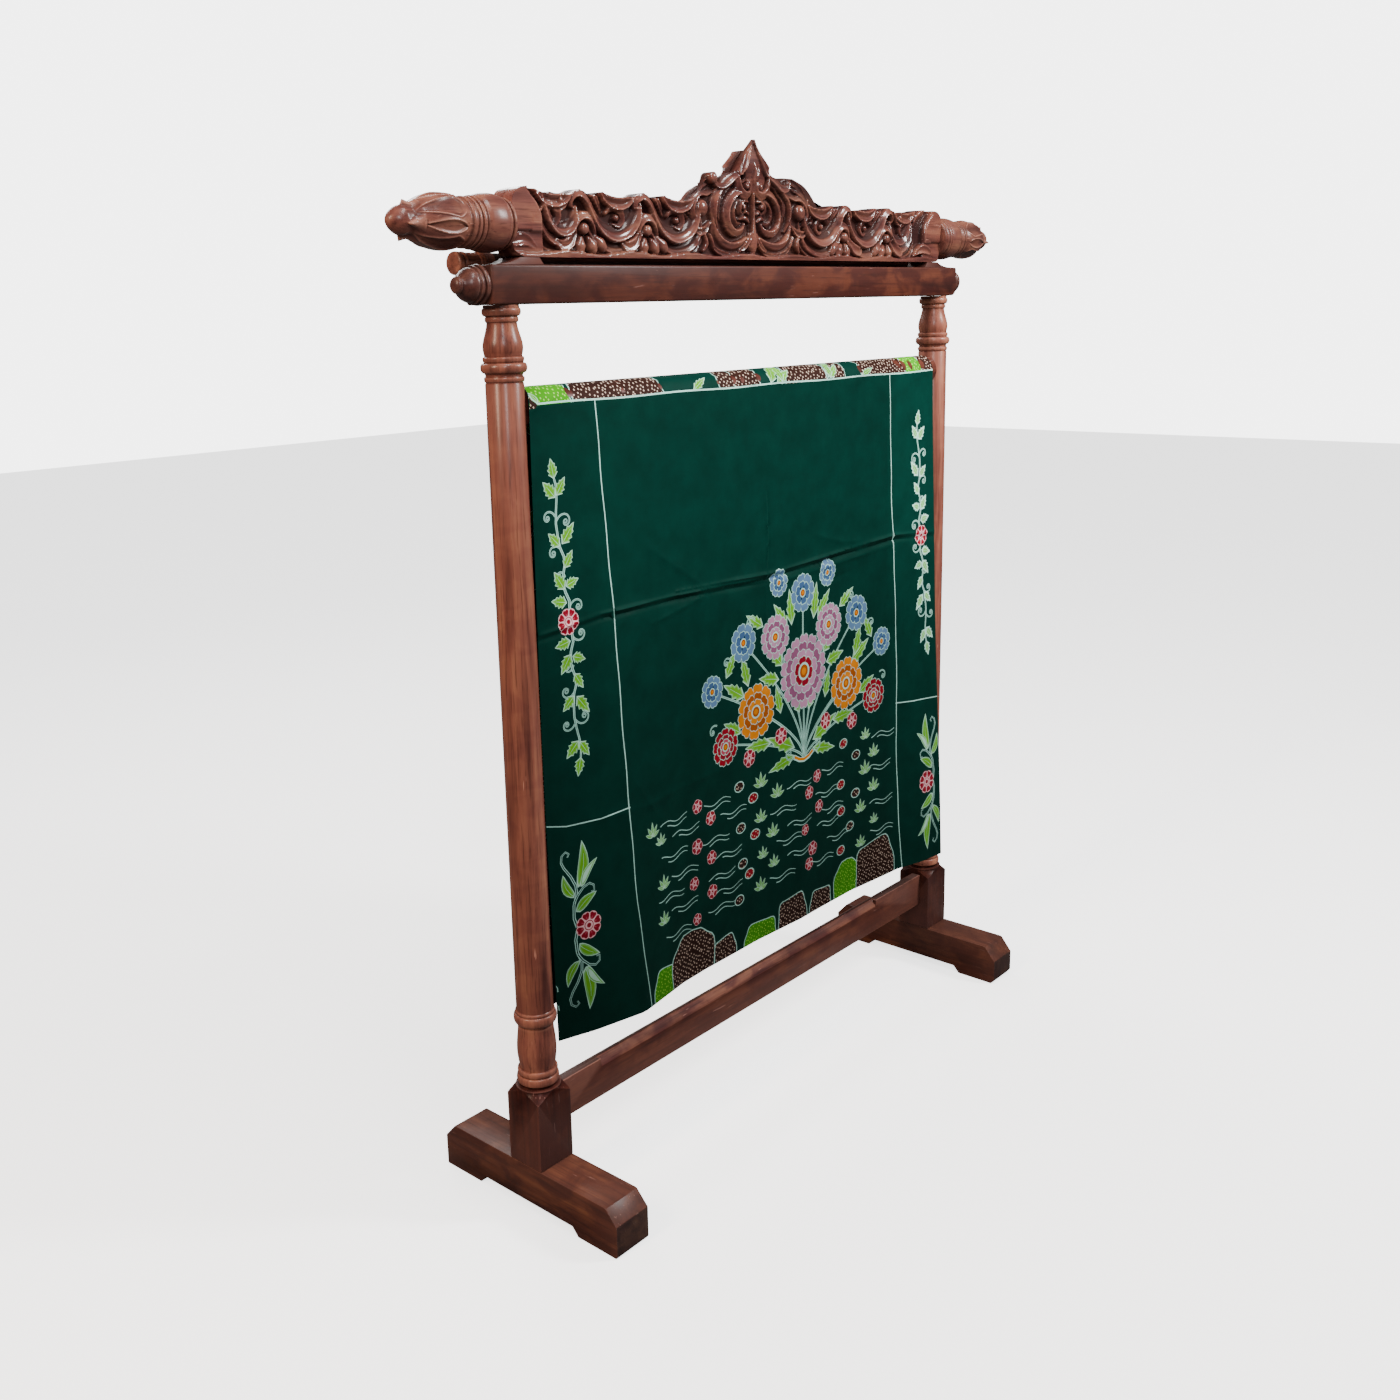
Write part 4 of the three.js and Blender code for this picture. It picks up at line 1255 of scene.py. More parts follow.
def dyed_sheet(name):
    """Cuts the flat sheet into faces along every dyed outline and hangs it over the rail."""
    batik = draw_print()
    edge = []
    low, high = CLOTH["front_hem"], SHEET_END
    alongs = [low + (high - low) * i / 180 for i in range(181)]
    for v in alongs:
        edge.append((cloth_edges(v)[1], v))
    corners = (cloth_edges(high), cloth_edges(low))
    edge += [(corners[0][1] + (corners[0][0] - corners[0][1]) * i / 90, high) for i in range(1, 90)]
    edge += [(cloth_edges(v)[0], v) for v in reversed(alongs)]
    edge += [(corners[1][0] + (corners[1][1] - corners[1][0]) * i / 90, low) for i in range(1, 90)]
    points, seams = list(edge), []
    outlines = []
    for shape, dye, dots in batik.shapes:
        kept = []
        for x, v in shape:
            v = min(max(v, low + 0.8), high - 0.8)
            left, right = cloth_edges(v)
            spot = (min(max(x, left + 0.8), right - 0.8), v)
            if not kept or math.dist(spot, kept[-1]) > 0.05:
                kept.append(spot)
        if len(kept) > 2:
            start = len(points)
            points.extend(kept)
            seams.extend((start + i, start + (i + 1) % len(kept)) for i in range(len(kept)))
            outlines.append((np.array(kept), dye, dots))
    chance = random.Random(5)
    pitch = CLOTH["pitch"]
    rows = int((high - low) / pitch)
    for j in range(1, rows):
        v = low + (high - low) * j / rows
        if RAIL["z"] - 6 < v < RAIL_TOP + 6:
            continue
        left, right = cloth_edges(v)
        count = int((right - left) / pitch)
        points.extend((left + (right - left) * (i + 0.5 * (j % 2)) / count, v + chance.uniform(-1, 1))
                      for i in range(1, count))
    for j in range(14):
        v = RAIL["z"] - 4 + (RAIL_TOP - RAIL["z"] + 8) * j / 13
        points.extend((-521 + 1027 * i / 50, v) for i in range(51))
    for path, _, half in CREASES:
        for (x0, v0), (x1, v1) in zip(path, path[1:]):
            length = math.hypot(x1 - x0, v1 - v0)
            for i in range(int(length / 7) + 1):
                t = i * 7 / length
                for off in (-2.2, -1.1, -0.45, 0, 0.45, 1.1, 2.2):
                    x = x0 + (x1 - x0) * t - (v1 - v0) / length * off * half
                    v = v0 + (v1 - v0) * t + (x1 - x0) / length * off * half
                    left, right = cloth_edges(v)
                    if left + 2 < x < right - 2:
                        points.append((x, v))
    whole = [list(range(len(edge)))]
    flat, _, triangles, _, _, _ = delaunay_2d_cdt([Vector(p) for p in points], seams, whole, 1, 0.01)
    flat = np.array([(p[0], p[1]) for p in flat])
    corners = np.array([tuple(t) for t in triangles])
    mesh = bpy.data.meshes.new(name)
    mesh.from_pydata([tuple(p) for p in cloth_place(flat)], [], corners.tolist())
    middles = flat[corners].mean(axis=1)
    owner = np.full(len(middles), -1)
    for number, (shape, _, _) in enumerate(outlines):
        near = np.flatnonzero(np.all((middles > shape.min(axis=0)) & (middles < shape.max(axis=0)), axis=1))
        owner[near[inside(shape, middles[near])]] = number
    colours = {dye: dyed(dye) + (1.0,) for dye in DYES}
    tones = [(colours[dye], dots) for _, dye, dots in outlines] + [(colours["ground"], 0.0)]
    corner_colours = np.repeat(np.array([tone[0] for tone in tones])[owner], 3, axis=0).ravel()
    face_dots = np.array([tone[1] for tone in tones])[owner]
    corner_uvs = (flat[corners.ravel()] * MM).ravel()
    layer = mesh.color_attributes.new("dye", "FLOAT_COLOR", "CORNER")
    layer.data.foreach_set("color", corner_colours)
    mesh.attributes.new("dots", "FLOAT", "FACE").data.foreach_set("value", face_dots)
    mesh.uv_layers.new(name="UVMap").data.foreach_set("uv", corner_uvs)
    mesh.update()
    obj = bpy.data.objects.new(name, mesh)
    bpy.context.scene.collection.objects.link(obj)
    return obj


def batik_finish():
    """Satin cotton: woven, waxed, dyed and dotted, with painted shade towards the hem and painted light on
    the right.
    """
    nodes = Nodes("batik_cotton")
    flat = nodes.coordinates.outputs["UV"]
    dye = nodes.attribute("dye", "Color")
    dotted = nodes.attribute("dots")
    cell = nodes.tree.nodes.new("ShaderNodeTexVoronoi")
    cell.voronoi_dimensions = "2D"
    cell.inputs["Scale"].default_value = 152.0
    cell.inputs["Randomness"].default_value = 0.6
    # The dots are drawn longer where the cloth turns over the rail
    sheet = nodes.tree.nodes.new("ShaderNodeSeparateXYZ")
    nodes.join(flat, sheet.inputs["Vector"])
    over = nodes.sums("MAXIMUM", nodes.sums("SUBTRACT", sheet.outputs["Y"], 1.212), 0.0)
    over = nodes.sums("MINIMUM", over, 0.05)
    drawn = nodes.tree.nodes.new("ShaderNodeCombineXYZ")
    nodes.join(sheet.outputs["X"], drawn.inputs["X"])
    shortened = nodes.sums("MULTIPLY", nodes.sums("MULTIPLY", over, over), 6.5)
    nodes.join(nodes.sums("SUBTRACT", sheet.outputs["Y"], shortened), drawn.inputs["Y"])
    aslant = nodes.mapped(drawn.outputs["Vector"], (1.0, 1.0, 1.0), (0.0, 0.0, 0.62))
    nodes.join(aslant, cell.inputs["Vector"])
    spot = nodes.ramp(cell.outputs["Distance"], [(0.16, 1.0), (0.22, 0.0)])
    strong = nodes.sums("GREATER_THAN", dotted, 0.75)
    dot_colour = nodes.mix(strong, (0.34, 0.66, 0.1), (0.66, 0.5, 0.4))
    covered = nodes.sums("MULTIPLY", spot, nodes.sums("GREATER_THAN", dotted, 0.2))
    colour = nodes.mix(nodes.sums("MULTIPLY", covered, 0.85), dye, dot_colour)
    uneven = nodes.ramp(nodes.noise(flat, 22.0, 5.0, 0.6), [(0.3, 0.82), (0.7, 1.14)])
    colour = nodes.mix(1.0, colour, uneven, "MULTIPLY")
    weave = nodes.sums("ADD", *(nodes.noise(nodes.mapped(flat, stretch), 2600.0, 1.0, 0.5)
                                for stretch in ((1.0, 0.03, 1.0), (0.03, 1.0, 1.0))))
    slub = nodes.ramp(weave, [(0.7, 0.93), (1.3, 1.05)])
    colour = nodes.mix(1.0, colour, slub, "MULTIPLY")
    # Painted shade darkens the cloth towards the hem and on the left strip, and painted light makes the right
    # strip paler
    place = nodes.tree.nodes.new("ShaderNodeSeparateXYZ")
    nodes.join(nodes.coordinates.outputs["Object"], place.inputs["Vector"])
    shade_by_height = nodes.ramp(place.outputs["Z"], [(0.28, 0.34), (1.18, 0.95), (0.75, 0.62)])
    colour = nodes.mix(1.0, colour, shade_by_height, "MULTIPLY")
    sides = nodes.ramp(nodes.sums("ADD", place.outputs["X"], 0.6),
                       [(0.07, 0.8), (0.98, 1.28), (0.2, 1.0), (0.95, 1.0)])
    colour = nodes.mix(1.0, colour, sides, "MULTIPLY")
    nodes.join(colour, nodes.shader.inputs["Base Color"])
    rough = nodes.ramp(nodes.noise(flat, 60.0, 3.0), [(0.3, 0.5), (0.7, 0.62)])
    nodes.join(rough, nodes.shader.inputs["Roughness"])
    nodes.shader.inputs["Specular IOR Level"].default_value = 0.03
    nodes.shader.inputs["Sheen Weight"].default_value = 0.008
    nodes.shader.inputs["Sheen Roughness"].default_value = 0.35
    nodes.shader.inputs["Sheen Tint"].default_value = (0.35, 0.7, 0.6, 1.0)
    soft = nodes.noise(nodes.mapped(flat, (1.0, 0.6, 1.0)), 14.0, 3.0, 0.5)
    nodes.bump([(soft, 0.35, 0.004), (weave, 0.25, 0.0003)])
    return nodes.material


class STAND_OT_cloth(bpy.types.Operator):
    """Hangs the batik cloth over its rail."""

    bl_idname = "stand.cloth"
    bl_label = "Batik cloth"

    def execute(self, context):
        cloth = dyed_sheet("batik_sheet")
        finish(cloth, batik_finish(), ["batik_cloth"], worn=0, angle=50.0)
        return {"FINISHED"}


# Carved crest and finials

CREST_MIDDLE = -20.0
SWAGS = [254.0, 385.0, 512.0]
PANEL_START = 482.0
GROUND = -13.0
CARVED = {"half": 505.0, "bottom": 1416.0}
CARVING_PITCH = {"front": 1.55, "back": 2.3}

# Strokes of the carving. Each path is (distance from the middle line, height); widths and
# heights run along it; dip hollows the stroke and tilt lifts its outer rim (mm)
MIDDLE_STROKES = [
    ([(0, 1594), (2, 1572), (4, 1552), (6, 1532)], (30, 44, 56, 50), (-3, -3, -3, -4), -1.0, 0.0),
    ([(-6, 1588), (-14, 1574), (-22, 1560), (-30, 1546), (-34, 1538)], (6, 11, 13, 13, 8), (0, 0, 0, 0, -1),
     3.6, -2.0),
    ([(0, 1528), (3, 1542), (2, 1556)], (10, 8, 2), (-1, 0, -3), -2.0, 0.0),
    ([(0, 1524), (10, 1536), (13, 1548)], (8, 8, 2), (-2, -1, -3), -2.0, 0.0),
    ([(36, 1541), (40, 1527), (35, 1512), (21, 1504), (8, 1509), (6, 1521), (15, 1529), (25, 1523)],
     (4, 8, 10, 10, 8, 7, 6, 3), (-3, 0, 0, 0, -1, -2, -4, -7), 2.2, 1.0),
    ([(30, 1538), (44, 1535), (58, 1528), (76, 1518), (92, 1520), (98, 1530)], (4, 10, 12, 11, 8, 3),
     (-3, -1, 0, -1, -3, -5), 2.6, 1.5),
    ([(14, 1506), (28, 1511), (48, 1506), (64, 1490), (69, 1472), (62, 1455), (46, 1447), (28, 1451),
      (20, 1462)],
     (4, 8, 10, 10, 10, 10, 9, 7, 3), (-4, -2, 0, 0, 0, 0, -1, -3, -6), 3.0, 1.0),
    ([(24, 1500), (40, 1497), (50, 1484), (50, 1470), (40, 1460), (28, 1462)], (3, 8, 9, 9, 7, 2),
     (-8, -6, -5, -5, -6, -8), 2.6, 1.0),
    ([(12, 1496), (23, 1498), (33, 1491), (33, 1480), (24, 1475)], (4, 8, 9, 8, 4), (-5, -4, -4, -5, -8),
     2.2, 1.0),
    ([(10, 1464), (20, 1470), (32, 1468)], (4, 9, 4), (-5, -5, -8), -2.5, 0.0),
    ([(10, 1476), (17, 1480), (22, 1476)], (4, 7, 3), (-5, -6, -8), -2.0, 0.0),
    ([(0, 1506), (0, 1470), (0, 1446), (0, 1428), (0, 1418)], (4, 6, 12, 22, 14), (-2, -3, -2, -3, -5),
     -3.0, 0.0),
    ([(7, 1446), (14, 1434), (22, 1426), (34, 1421)], (4, 7, 7, 4), (-4, -3, -4, -6), 2.0, 0.0),
    ([(100, 1466), (96, 1446), (82, 1430), (60, 1423), (36, 1427), (16, 1440)], (4, 11, 15, 16, 13, 4),
     (-5, -2, 0, 0, -1, -4), 4.2, 2.0),
    ([(106, 1438), (92, 1422), (66, 1414), (40, 1415), (24, 1420)], (3, 6, 7, 6, 3), (-8, -6, -5, -6, -8),
     1.4, 0.0),
    ([(52, 1520), (74, 1516), (92, 1502), (99, 1484), (96, 1466), (86, 1452)], (4, 8, 10, 10, 8, 4),
     (-6, -3, -1, -1, -3, -7), 2.6, 1.5),
    ([(66, 1512), (80, 1500), (84, 1484), (80, 1466)], (3, 6, 6, 3), (-9, -7, -7, -9), 1.2, 0.0),
    ([(96, 1508), (112, 1504), (128, 1504), (142, 1494), (148, 1480), (142, 1466), (130, 1460)],
     (4, 7, 8, 8, 8, 7, 3), (-8, -5, -4, -3, -3, -4, -8), 2.2, 1.0),
    ([(104, 1462), (118, 1450), (134, 1448), (146, 1456)], (3, 9, 9, 3), (-7, -4, -4, -7), 2.2, 0.0),
    ([(120, 1444), (116, 1430), (122, 1420)], (6, 9, 6), (-4, -3, -5), -3.0, 0.0),
    ([(132, 1442), (138, 1430), (148, 1422)], (5, 8, 5), (-5, -4, -6), -3.0, 0.0),
    ([(106, 1444), (100, 1432), (96, 1424)], (4, 7, 4), (-5, -5, -7), -3.0, 0.0),
    ([(110, 1519), (126, 1516), (142, 1508), (156, 1492)], (6, 12, 12, 5), (-9, -7, -7, -9), 2.4, 1.0),
    ([(84, 1528), (104, 1530), (122, 1524), (138, 1512), (150, 1496)], (4, 9, 10, 9, 4),
     (-11, -9, -9, -9, -11), 2.0, 0.0),
    ([(34, 1527), (50, 1524), (64, 1514), (70, 1504)], (3, 7, 7, 2), (-9, -6, -6, -9), 1.6, 0.0),
]
MIDDLE_BEADS = [(17, 1518, 5.5, -1.0), (125, 1482, 13.5, 0.0), (23, 1487, 5.0, -3.5)]
SWAG_STROKES = [
    ([(-118, 1490), (-113, 1468), (-97, 1449), (-70, 1440), (-45, 1446), (-26, 1463), (-12, 1483), (3, 1493),
      (16, 1489), (20, 1478), (12, 1472)], (8, 17, 22, 24, 21, 15, 12, 12, 10, 7, 3),
     (-5, -1, 0, 0, 0, 0, 0, 0, -2, -4, -6), 5.5, 3.4),
    ([(-129, 1470), (-121, 1445), (-101, 1427), (-70, 1420), (-40, 1426), (-18, 1443), (-3, 1464)],
     (5, 14, 17, 17, 15, 11, 4), (-8, -5, -4, -4, -4, -5, -8), 4.0, 2.0),
    ([(-134, 1446), (-118, 1425), (-92, 1413), (-62, 1410), (-34, 1415)], (4, 9, 11, 10, 4),
     (-9, -7, -6, -6, -8), 2.4, 0.6),
    ([(-108, 1494), (-94, 1485), (-73, 1481), (-53, 1485), (-38, 1496)], (5, 15, 19, 15, 5),
     (-2, -1, 0, -1, -2), 5.0, 0.0),
    ([(-50, 1468), (-60, 1475), (-76, 1472), (-83, 1461), (-76, 1452), (-66, 1454)], (6, 10, 11, 10, 8, 4),
     (-4, -3, -3, -4, -5, -7), 2.4, 1.0),
    ([(-24, 1492), (-33, 1482), (-42, 1468)], (9, 9, 3), (-3, -5, -9), 2.4, 0.0),
    ([(-28, 1430), (-26, 1449), (-13, 1463), (4, 1462), (14, 1449), (11, 1434)], (5, 11, 13, 12, 9, 4),
     (-6, -2, 0, -1, -3, -7), 3.0, 1.4),
    ([(-26, 1434), (-35, 1427), (-41, 1422)], (11, 18, 15), (-3, 0, -1), -5.0, 0.0),
    ([(-13, 1432), (-18, 1424), (-21, 1419)], (10, 18, 16), (-3, 0, -1), -5.0, 0.0),
    ([(2, 1432), (4, 1424), (5, 1418)], (10, 18, 16), (-3, 0, -1), -5.0, 0.0),
    ([(14, 1440), (25, 1428), (40, 1423), (50, 1430)], (9, 17, 17, 6), (-4, -1, -1, -5), 3.0, -1.0),
]
SWAG_BEADS = [(-70, 1462, 5.5, -4.0), (-3, 1446, 8.5, 0.5)]
END_STROKES = [
    ([(396, 1474), (402, 1455), (416, 1444), (433, 1446), (446, 1458), (453, 1474), (460, 1490)],
     (6, 15, 19, 19, 15, 11, 6), (-4, -1, 0, 0, 0, -1, -3), 5.0, 2.6),
    ([(394, 1452), (408, 1434), (430, 1428), (450, 1436), (463, 1454), (470, 1474)],
     (5, 12, 14, 13, 10, 4), (-7, -4, -3, -3, -4, -7), 3.4, 1.6),
    ([(402, 1428), (424, 1415), (450, 1414), (468, 1424), (478, 1442)], (4, 9, 10, 9, 4),
     (-9, -7, -6, -6, -8), 2.2, 0.8),
    ([(408, 1494), (416, 1480), (429, 1472), (441, 1477), (447, 1490)], (5, 11, 12, 11, 5),
     (-5, -4, -4, -4, -5), 3.0, 1.0),
    ([(536, 1419), (518, 1427), (496, 1429), (474, 1418)], (3, 15, 17, 4), (-1, 0, 0, -3), 3.4, 0.0),
    ([(500, 1494), (486, 1486), (474, 1470)], (12, 12, 4), (-1, -3, -7), 3.0, 1.0),
]
END_BEADS = [(426, 1482, 5.5, -2.0), (468, 1490, 4.5, -3.0)]


def smooth_path(path, per=6):
    """A curve through the points, with its width and height columns carried along."""
    points = np.array(path, float)
    rows = []
    for i in range(len(points) - 1):
        four = [points[min(max(i + k, 0), len(points) - 1)] for k in (-1, 0, 1, 2)]
        rows.extend(eased(*four, k / per) for k in range(per))
    rows.append(points[-1])
    return np.array(rows)


def carve_stroke(spots, height, path, widths, tops, dip, tilt):
    """Raises the carved surface along one stroke where the stroke stands above it."""
    curve = smooth_path([(x, z, w, h) for (x, z), w, h in zip(path, widths, tops)])
    reach = curve[:, 2].max() / 2 + 2
    near = np.flatnonzero(
        (spots[:, 0] > curve[:, 0].min() - reach) & (spots[:, 0] < curve[:, 0].max() + reach)
        & (spots[:, 1] > curve[:, 1].min() - reach) & (spots[:, 1] < curve[:, 1].max() + reach))
    if not len(near):
        return
    here = spots[near]
    best = np.full(len(near), 1e9)
    half = np.ones(len(near))
    top = np.zeros(len(near))
    hand = np.zeros(len(near))
    for a, b in zip(curve, curve[1:]):
        span = b[:2] - a[:2]
        length = max(float(span @ span), 1e-9)
        t = np.clip(((here - a[:2]) @ span) / length, 0.0, 1.0)
        off = here - a[:2] - t[:, None] * span
        apart = np.hypot(off[:, 0], off[:, 1])
        nearer = apart < best
        best = np.where(nearer, apart, best)
        half = np.where(nearer, (a[2] + (b[2] - a[2]) * t) / 2, half)
        top = np.where(nearer, a[3] + (b[3] - a[3]) * t, top)
        hand = np.where(nearer, np.sign(span[0] * off[:, 1] - span[1] * off[:, 0]), hand)
    share = best / np.maximum(half, 0.6)
    on = share < 1.0
    if tilt >= 1.0:
        outer = (1.0 - hand * share) / 2.0
        deep = np.minimum(dip + tilt, half * 0.9)
        shape = top - deep * (1.0 - np.clip(outer / 0.9, 0.0, 1.0) ** 1.7)
        # Broad strokes have a second, lower band on their inner side
        ledge = np.clip((half - 5.5) / 3.0, 0.0, 1.0)
        step = 1.5 * np.clip((0.5 - outer) / 0.12, 0.0, 1.0)
        shape -= ledge * (step - 0.7 * np.exp(-((outer - 0.55) / 0.07) ** 2))
        shape -= np.where(outer > 0.9, ((outer - 0.9) / 0.1) ** 2 * 4.0, 0.0)
    elif dip >= 0:
        hollow = np.minimum(dip, half * 0.6)
        shape = top - hollow * (1.0 - np.minimum(share / 0.8, 1.0) ** 2.0)
        shape -= np.where(share > 0.8, ((share - 0.8) / 0.2) ** 2 * 5.0, 0.0)
        shape -= tilt * 0.5 * (1.0 + hand * share)
    else:
        shape = top + dip * share ** 2.2
    height[near] = np.where(on, np.maximum(height[near], shape), height[near])


def carved_height(spots, rear=False):
    """Depth of the carving below the crest's face (mm) at each place of the face."""
    aside = spots[:, 0] - CREST_MIDDLE
    leafy = (np.abs(spots[:, 0]) > PANEL_START) & (spots[:, 1] < 1442.0)
    height = np.where(leafy, -3.5, GROUND)
    band = 1414.0 + 2.2 * np.cos(aside / 131.0 * 2 * math.pi + 1.2)
    out, up = np.abs(spots[:, 0]), spots[:, 1]
    tongue = PANEL_START + 25.0 * np.clip((up - 1456.0) / 36.0, 0.0, 1.0) ** 2
    tongue = tongue + 80.0 * np.clip((1440.0 + (out - PANEL_START) * 0.06 - up) / 2.0, 0.0, 1.0)
    plain = (up < band) | (out > tongue)
    for side in (-1.0, 1.0):
        face = np.stack([aside * side, spots[:, 1]], axis=1)
        for path, widths, tops, dip, tilt in MIDDLE_STROKES:
            if path[0][0] == 0 and side < 0:
                continue
            broad = 1.3 if dip > 0 else 1.0
            widths = [broad * w for w in widths]
            carve_stroke(face, height, path, widths, tops, dip * broad * 1.2, tilt * 1.3)
        for z in range(1470, 1500, 7):
            reach = 158 - (z - 1470) * 0.5
            carve_stroke(face, height, [(reach, z - 4), (reach + 8, z + 6)], (4, 3), (-6, -8), -1.5, 0)
        for middle in SWAGS:
            for path, widths, tops, dip, tilt in SWAG_STROKES:
                moved = [(x + middle, z) for x, z in path]
                if max(x for x, _ in moved) < 486 and min(x for x, _ in moved) > 112:
                    carve_stroke(face, height, moved, widths, tops, dip, tilt)
        for stroke in END_STROKES:
            carve_stroke(face, height, *stroke)
        beads = MIDDLE_BEADS + END_BEADS
        for middle in SWAGS[:2]:
            beads += [(x + middle, z, r, h) for x, z, r, h in SWAG_BEADS]
        if side < 0:
            beads.append((99, 1527, 9.5, 0.0))
        for x, z, radius, top in beads:
            apart = np.hypot(face[:, 0] - x, face[:, 1] - z)
            dome = top - radius * 0.75 + np.sqrt(np.maximum(radius * radius - apart * apart, 0.0)) * 0.75
            height = np.where(apart < radius * 0.97, np.maximum(height, dome), height)
    ends = np.clip((out - tongue) / 4.0, 0.0, 1.0)
    beside = np.where(out > tongue, np.maximum(GROUND * 0.6 * (1 - ends), height - 2.0), 0.0)
    height = np.where(plain, beside, height)
    # The tip leans back to a point
    lean = np.clip((up - 1552.0) / 37.0, 0.0, 1.0)
    return height if rear else height - 5.0 * lean


def crest_outline(rear=False):
    """The crest's outline (x, height), from its lower left corner round to the left end's top."""
    half, low, corner = CREST["half"], CREST["bottom"], 22.0
    points = []

    def round_corner(x, z, start):
        for i in range(8):
            angle = math.radians(start + 90 * i / 7)
            points.append((x + corner * math.cos(angle), z + corner * math.sin(angle)))

    round_corner(-half + corner, low + corner, 180)
    points.extend((-half + corner + (2 * half - 2 * corner) * i / 300, low) for i in range(1, 300))
    round_corner(half - corner, low + corner, 270)
    top = 1497.0
    round_corner(half - corner, top - corner, 0)

    def run(reach):
        wave = []
        for middle in SWAGS[:2]:
            wave += [(middle - 96, 1492), (middle - 80, 1490), (middle - 62, 1494), (middle - 44, 1496.5),
                     (middle - 32, 1494), (middle - 24, 1490.5), (middle - 12, 1497), (middle + 3, 1498.5),
                     (middle + 14, 1495), (middle + 24, 1490.5)]
        wave += [(424, 1491), (440, 1493.5), (452, 1490), (466, 1492.5), (480, 1497), (492, 1498)]
        return [(d, z) for d, z in wave if 172 < d < reach]

    right = [(514, 1497.5), (494, 1498)]
    right += [(d + CREST_MIDDLE, z) for d, z in run(500)][::-1]
    left = [(CREST_MIDDLE - d, z) for d, z in run(496)]
    if rear:
        middle = [(140, 1491), (130, 1506), (112, 1518), (88, 1526), (62, 1530), (36, 1533), (18, 1541),
                  (4, 1556), (-6, 1569.5), (-14, 1572), (-28, 1573), (-44, 1561.5), (-59, 1546), (-67, 1535),
                  (-80, 1531), (-100, 1527), (-128, 1518), (-152, 1506), (-170, 1491)]
    else:
        middle = [(163, 1491), (152, 1504), (140, 1515), (125, 1525), (108, 1531), (90, 1534.5), (70, 1535.5),
                  (50, 1534.5), (38, 1534), (28, 1537), (19, 1545), (9, 1558), (-2, 1571), (-10, 1581),
                  (-15, 1587), (-17, 1589), (-20, 1587), (-27, 1579), (-36, 1569), (-46, 1557), (-53, 1547),
                  (-60, 1540), (-72, 1536), (-84, 1531), (-95, 1524), (-103, 1519), (-107, 1525),
                  (-110, 1531), (-116, 1535), (-123, 1535), (-129, 1531), (-132, 1524), (-138, 1515),
                  (-148, 1507), (-160, 1500), (-172, 1492)]
    curve = smooth_path(right + middle + left, 8)
    spaced = [curve[0]]
    for point in curve[1:]:
        if np.linalg.norm(point - spaced[-1]) >= 1.7:
            spaced.append(point)
    points.extend((float(x), float(z)) for x, z in spaced)
    round_corner(-half + corner, top - corner, 90)
    return points


def carved_plank(name, rear, pitch):
    """Half the crest's thickness: an outline filled with fine faces, carved on its outer side."""
    outline = crest_outline(rear)
    edge = np.array(outline)
    low, high = edge.min(axis=0), edge.max(axis=0)
    rows = int((high[1] - low[1]) / (pitch * 0.87))
    columns = int((high[0] - low[0]) / pitch)
    spots = []
    for j in range(1, rows):
        z = low[1] + (high[1] - low[1]) * j / rows
        spots.extend((low[0] + pitch * (i + 0.5 * (j % 2)), z) for i in range(1, columns))
    spots = np.array(spots)
    kept = spots[inside(edge, spots)]
    clear = np.ones(len(kept), bool)
    for point in edge:
        clear &= np.hypot(kept[:, 0] - point[0], kept[:, 1] - point[1]) > pitch * 0.6
    flat = [Vector(p) for p in outline] + [Vector(p) for p in kept[clear]]
    flat, _, triangles, _, _, _ = delaunay_2d_cdt(flat, [], [list(range(len(outline)))], 1, 0.001)
    flat = np.array([(p[0], p[1]) for p in flat])
    triangles = np.array([tuple(t) for t in triangles])
    height = carved_height(flat, rear)
    # Cut edges are rubbed a little towards their neighbours
    links = np.concatenate([triangles[:, [0, 1]], triangles[:, [1, 2]], triangles[:, [2, 0]]])
    total, neighbours = np.zeros(len(flat)), np.zeros(len(flat))
    for here, there in ((0, 1), (1, 0)):
        np.add.at(total, links[:, here], height[links[:, there]])
        np.add.at(neighbours, links[:, here], 1)
    height = 0.6 * height + 0.4 * total / neighbours
    outward = 1.0 if rear else -1.0
    count = len(flat)
    face = np.stack([flat[:, 0], outward * (CREST["depth"] + height), flat[:, 1]], axis=1)
    sides = [face]
    rim = len(outline)
    lean = np.zeros(rim) if rear else np.clip((flat[:rim, 1] - 1545.0) / 42.0, 0.0, 1.0)
    for depth, thinner in ((2.0, 8.0), (-1.0, 10.0)):
        sides.append(np.stack([flat[:rim, 0], outward * (depth + thinner * lean), flat[:rim, 1]], axis=1))
    coords = np.concatenate(sides) * MM
    turn = triangles[:, ::-1] if rear else triangles
    polygons = [tuple(t) for t in turn.tolist()]
    for a in range(rim):
        b = (a + 1) % rim
        for upper, lower in ((0, count), (count, count + rim)):
            quad = (upper + a, lower + a, lower + b, upper + b)
            polygons.append(quad if not rear else quad[::-1])
    back = [count + rim + i for i in range(rim)]
    polygons.append(tuple(back if rear else back[::-1]))
    mesh = bpy.data.meshes.new(name)
    mesh.from_pydata(coords.tolist(), [], polygons)
    mesh.update()
    obj = bpy.data.objects.new(name, mesh)
    bpy.context.scene.collection.objects.link(obj)
    work_on(obj)
    bpy.ops.object.mode_set(mode="EDIT")
    face_outward()
    bpy.ops.object.mode_set(mode="OBJECT")
    return obj


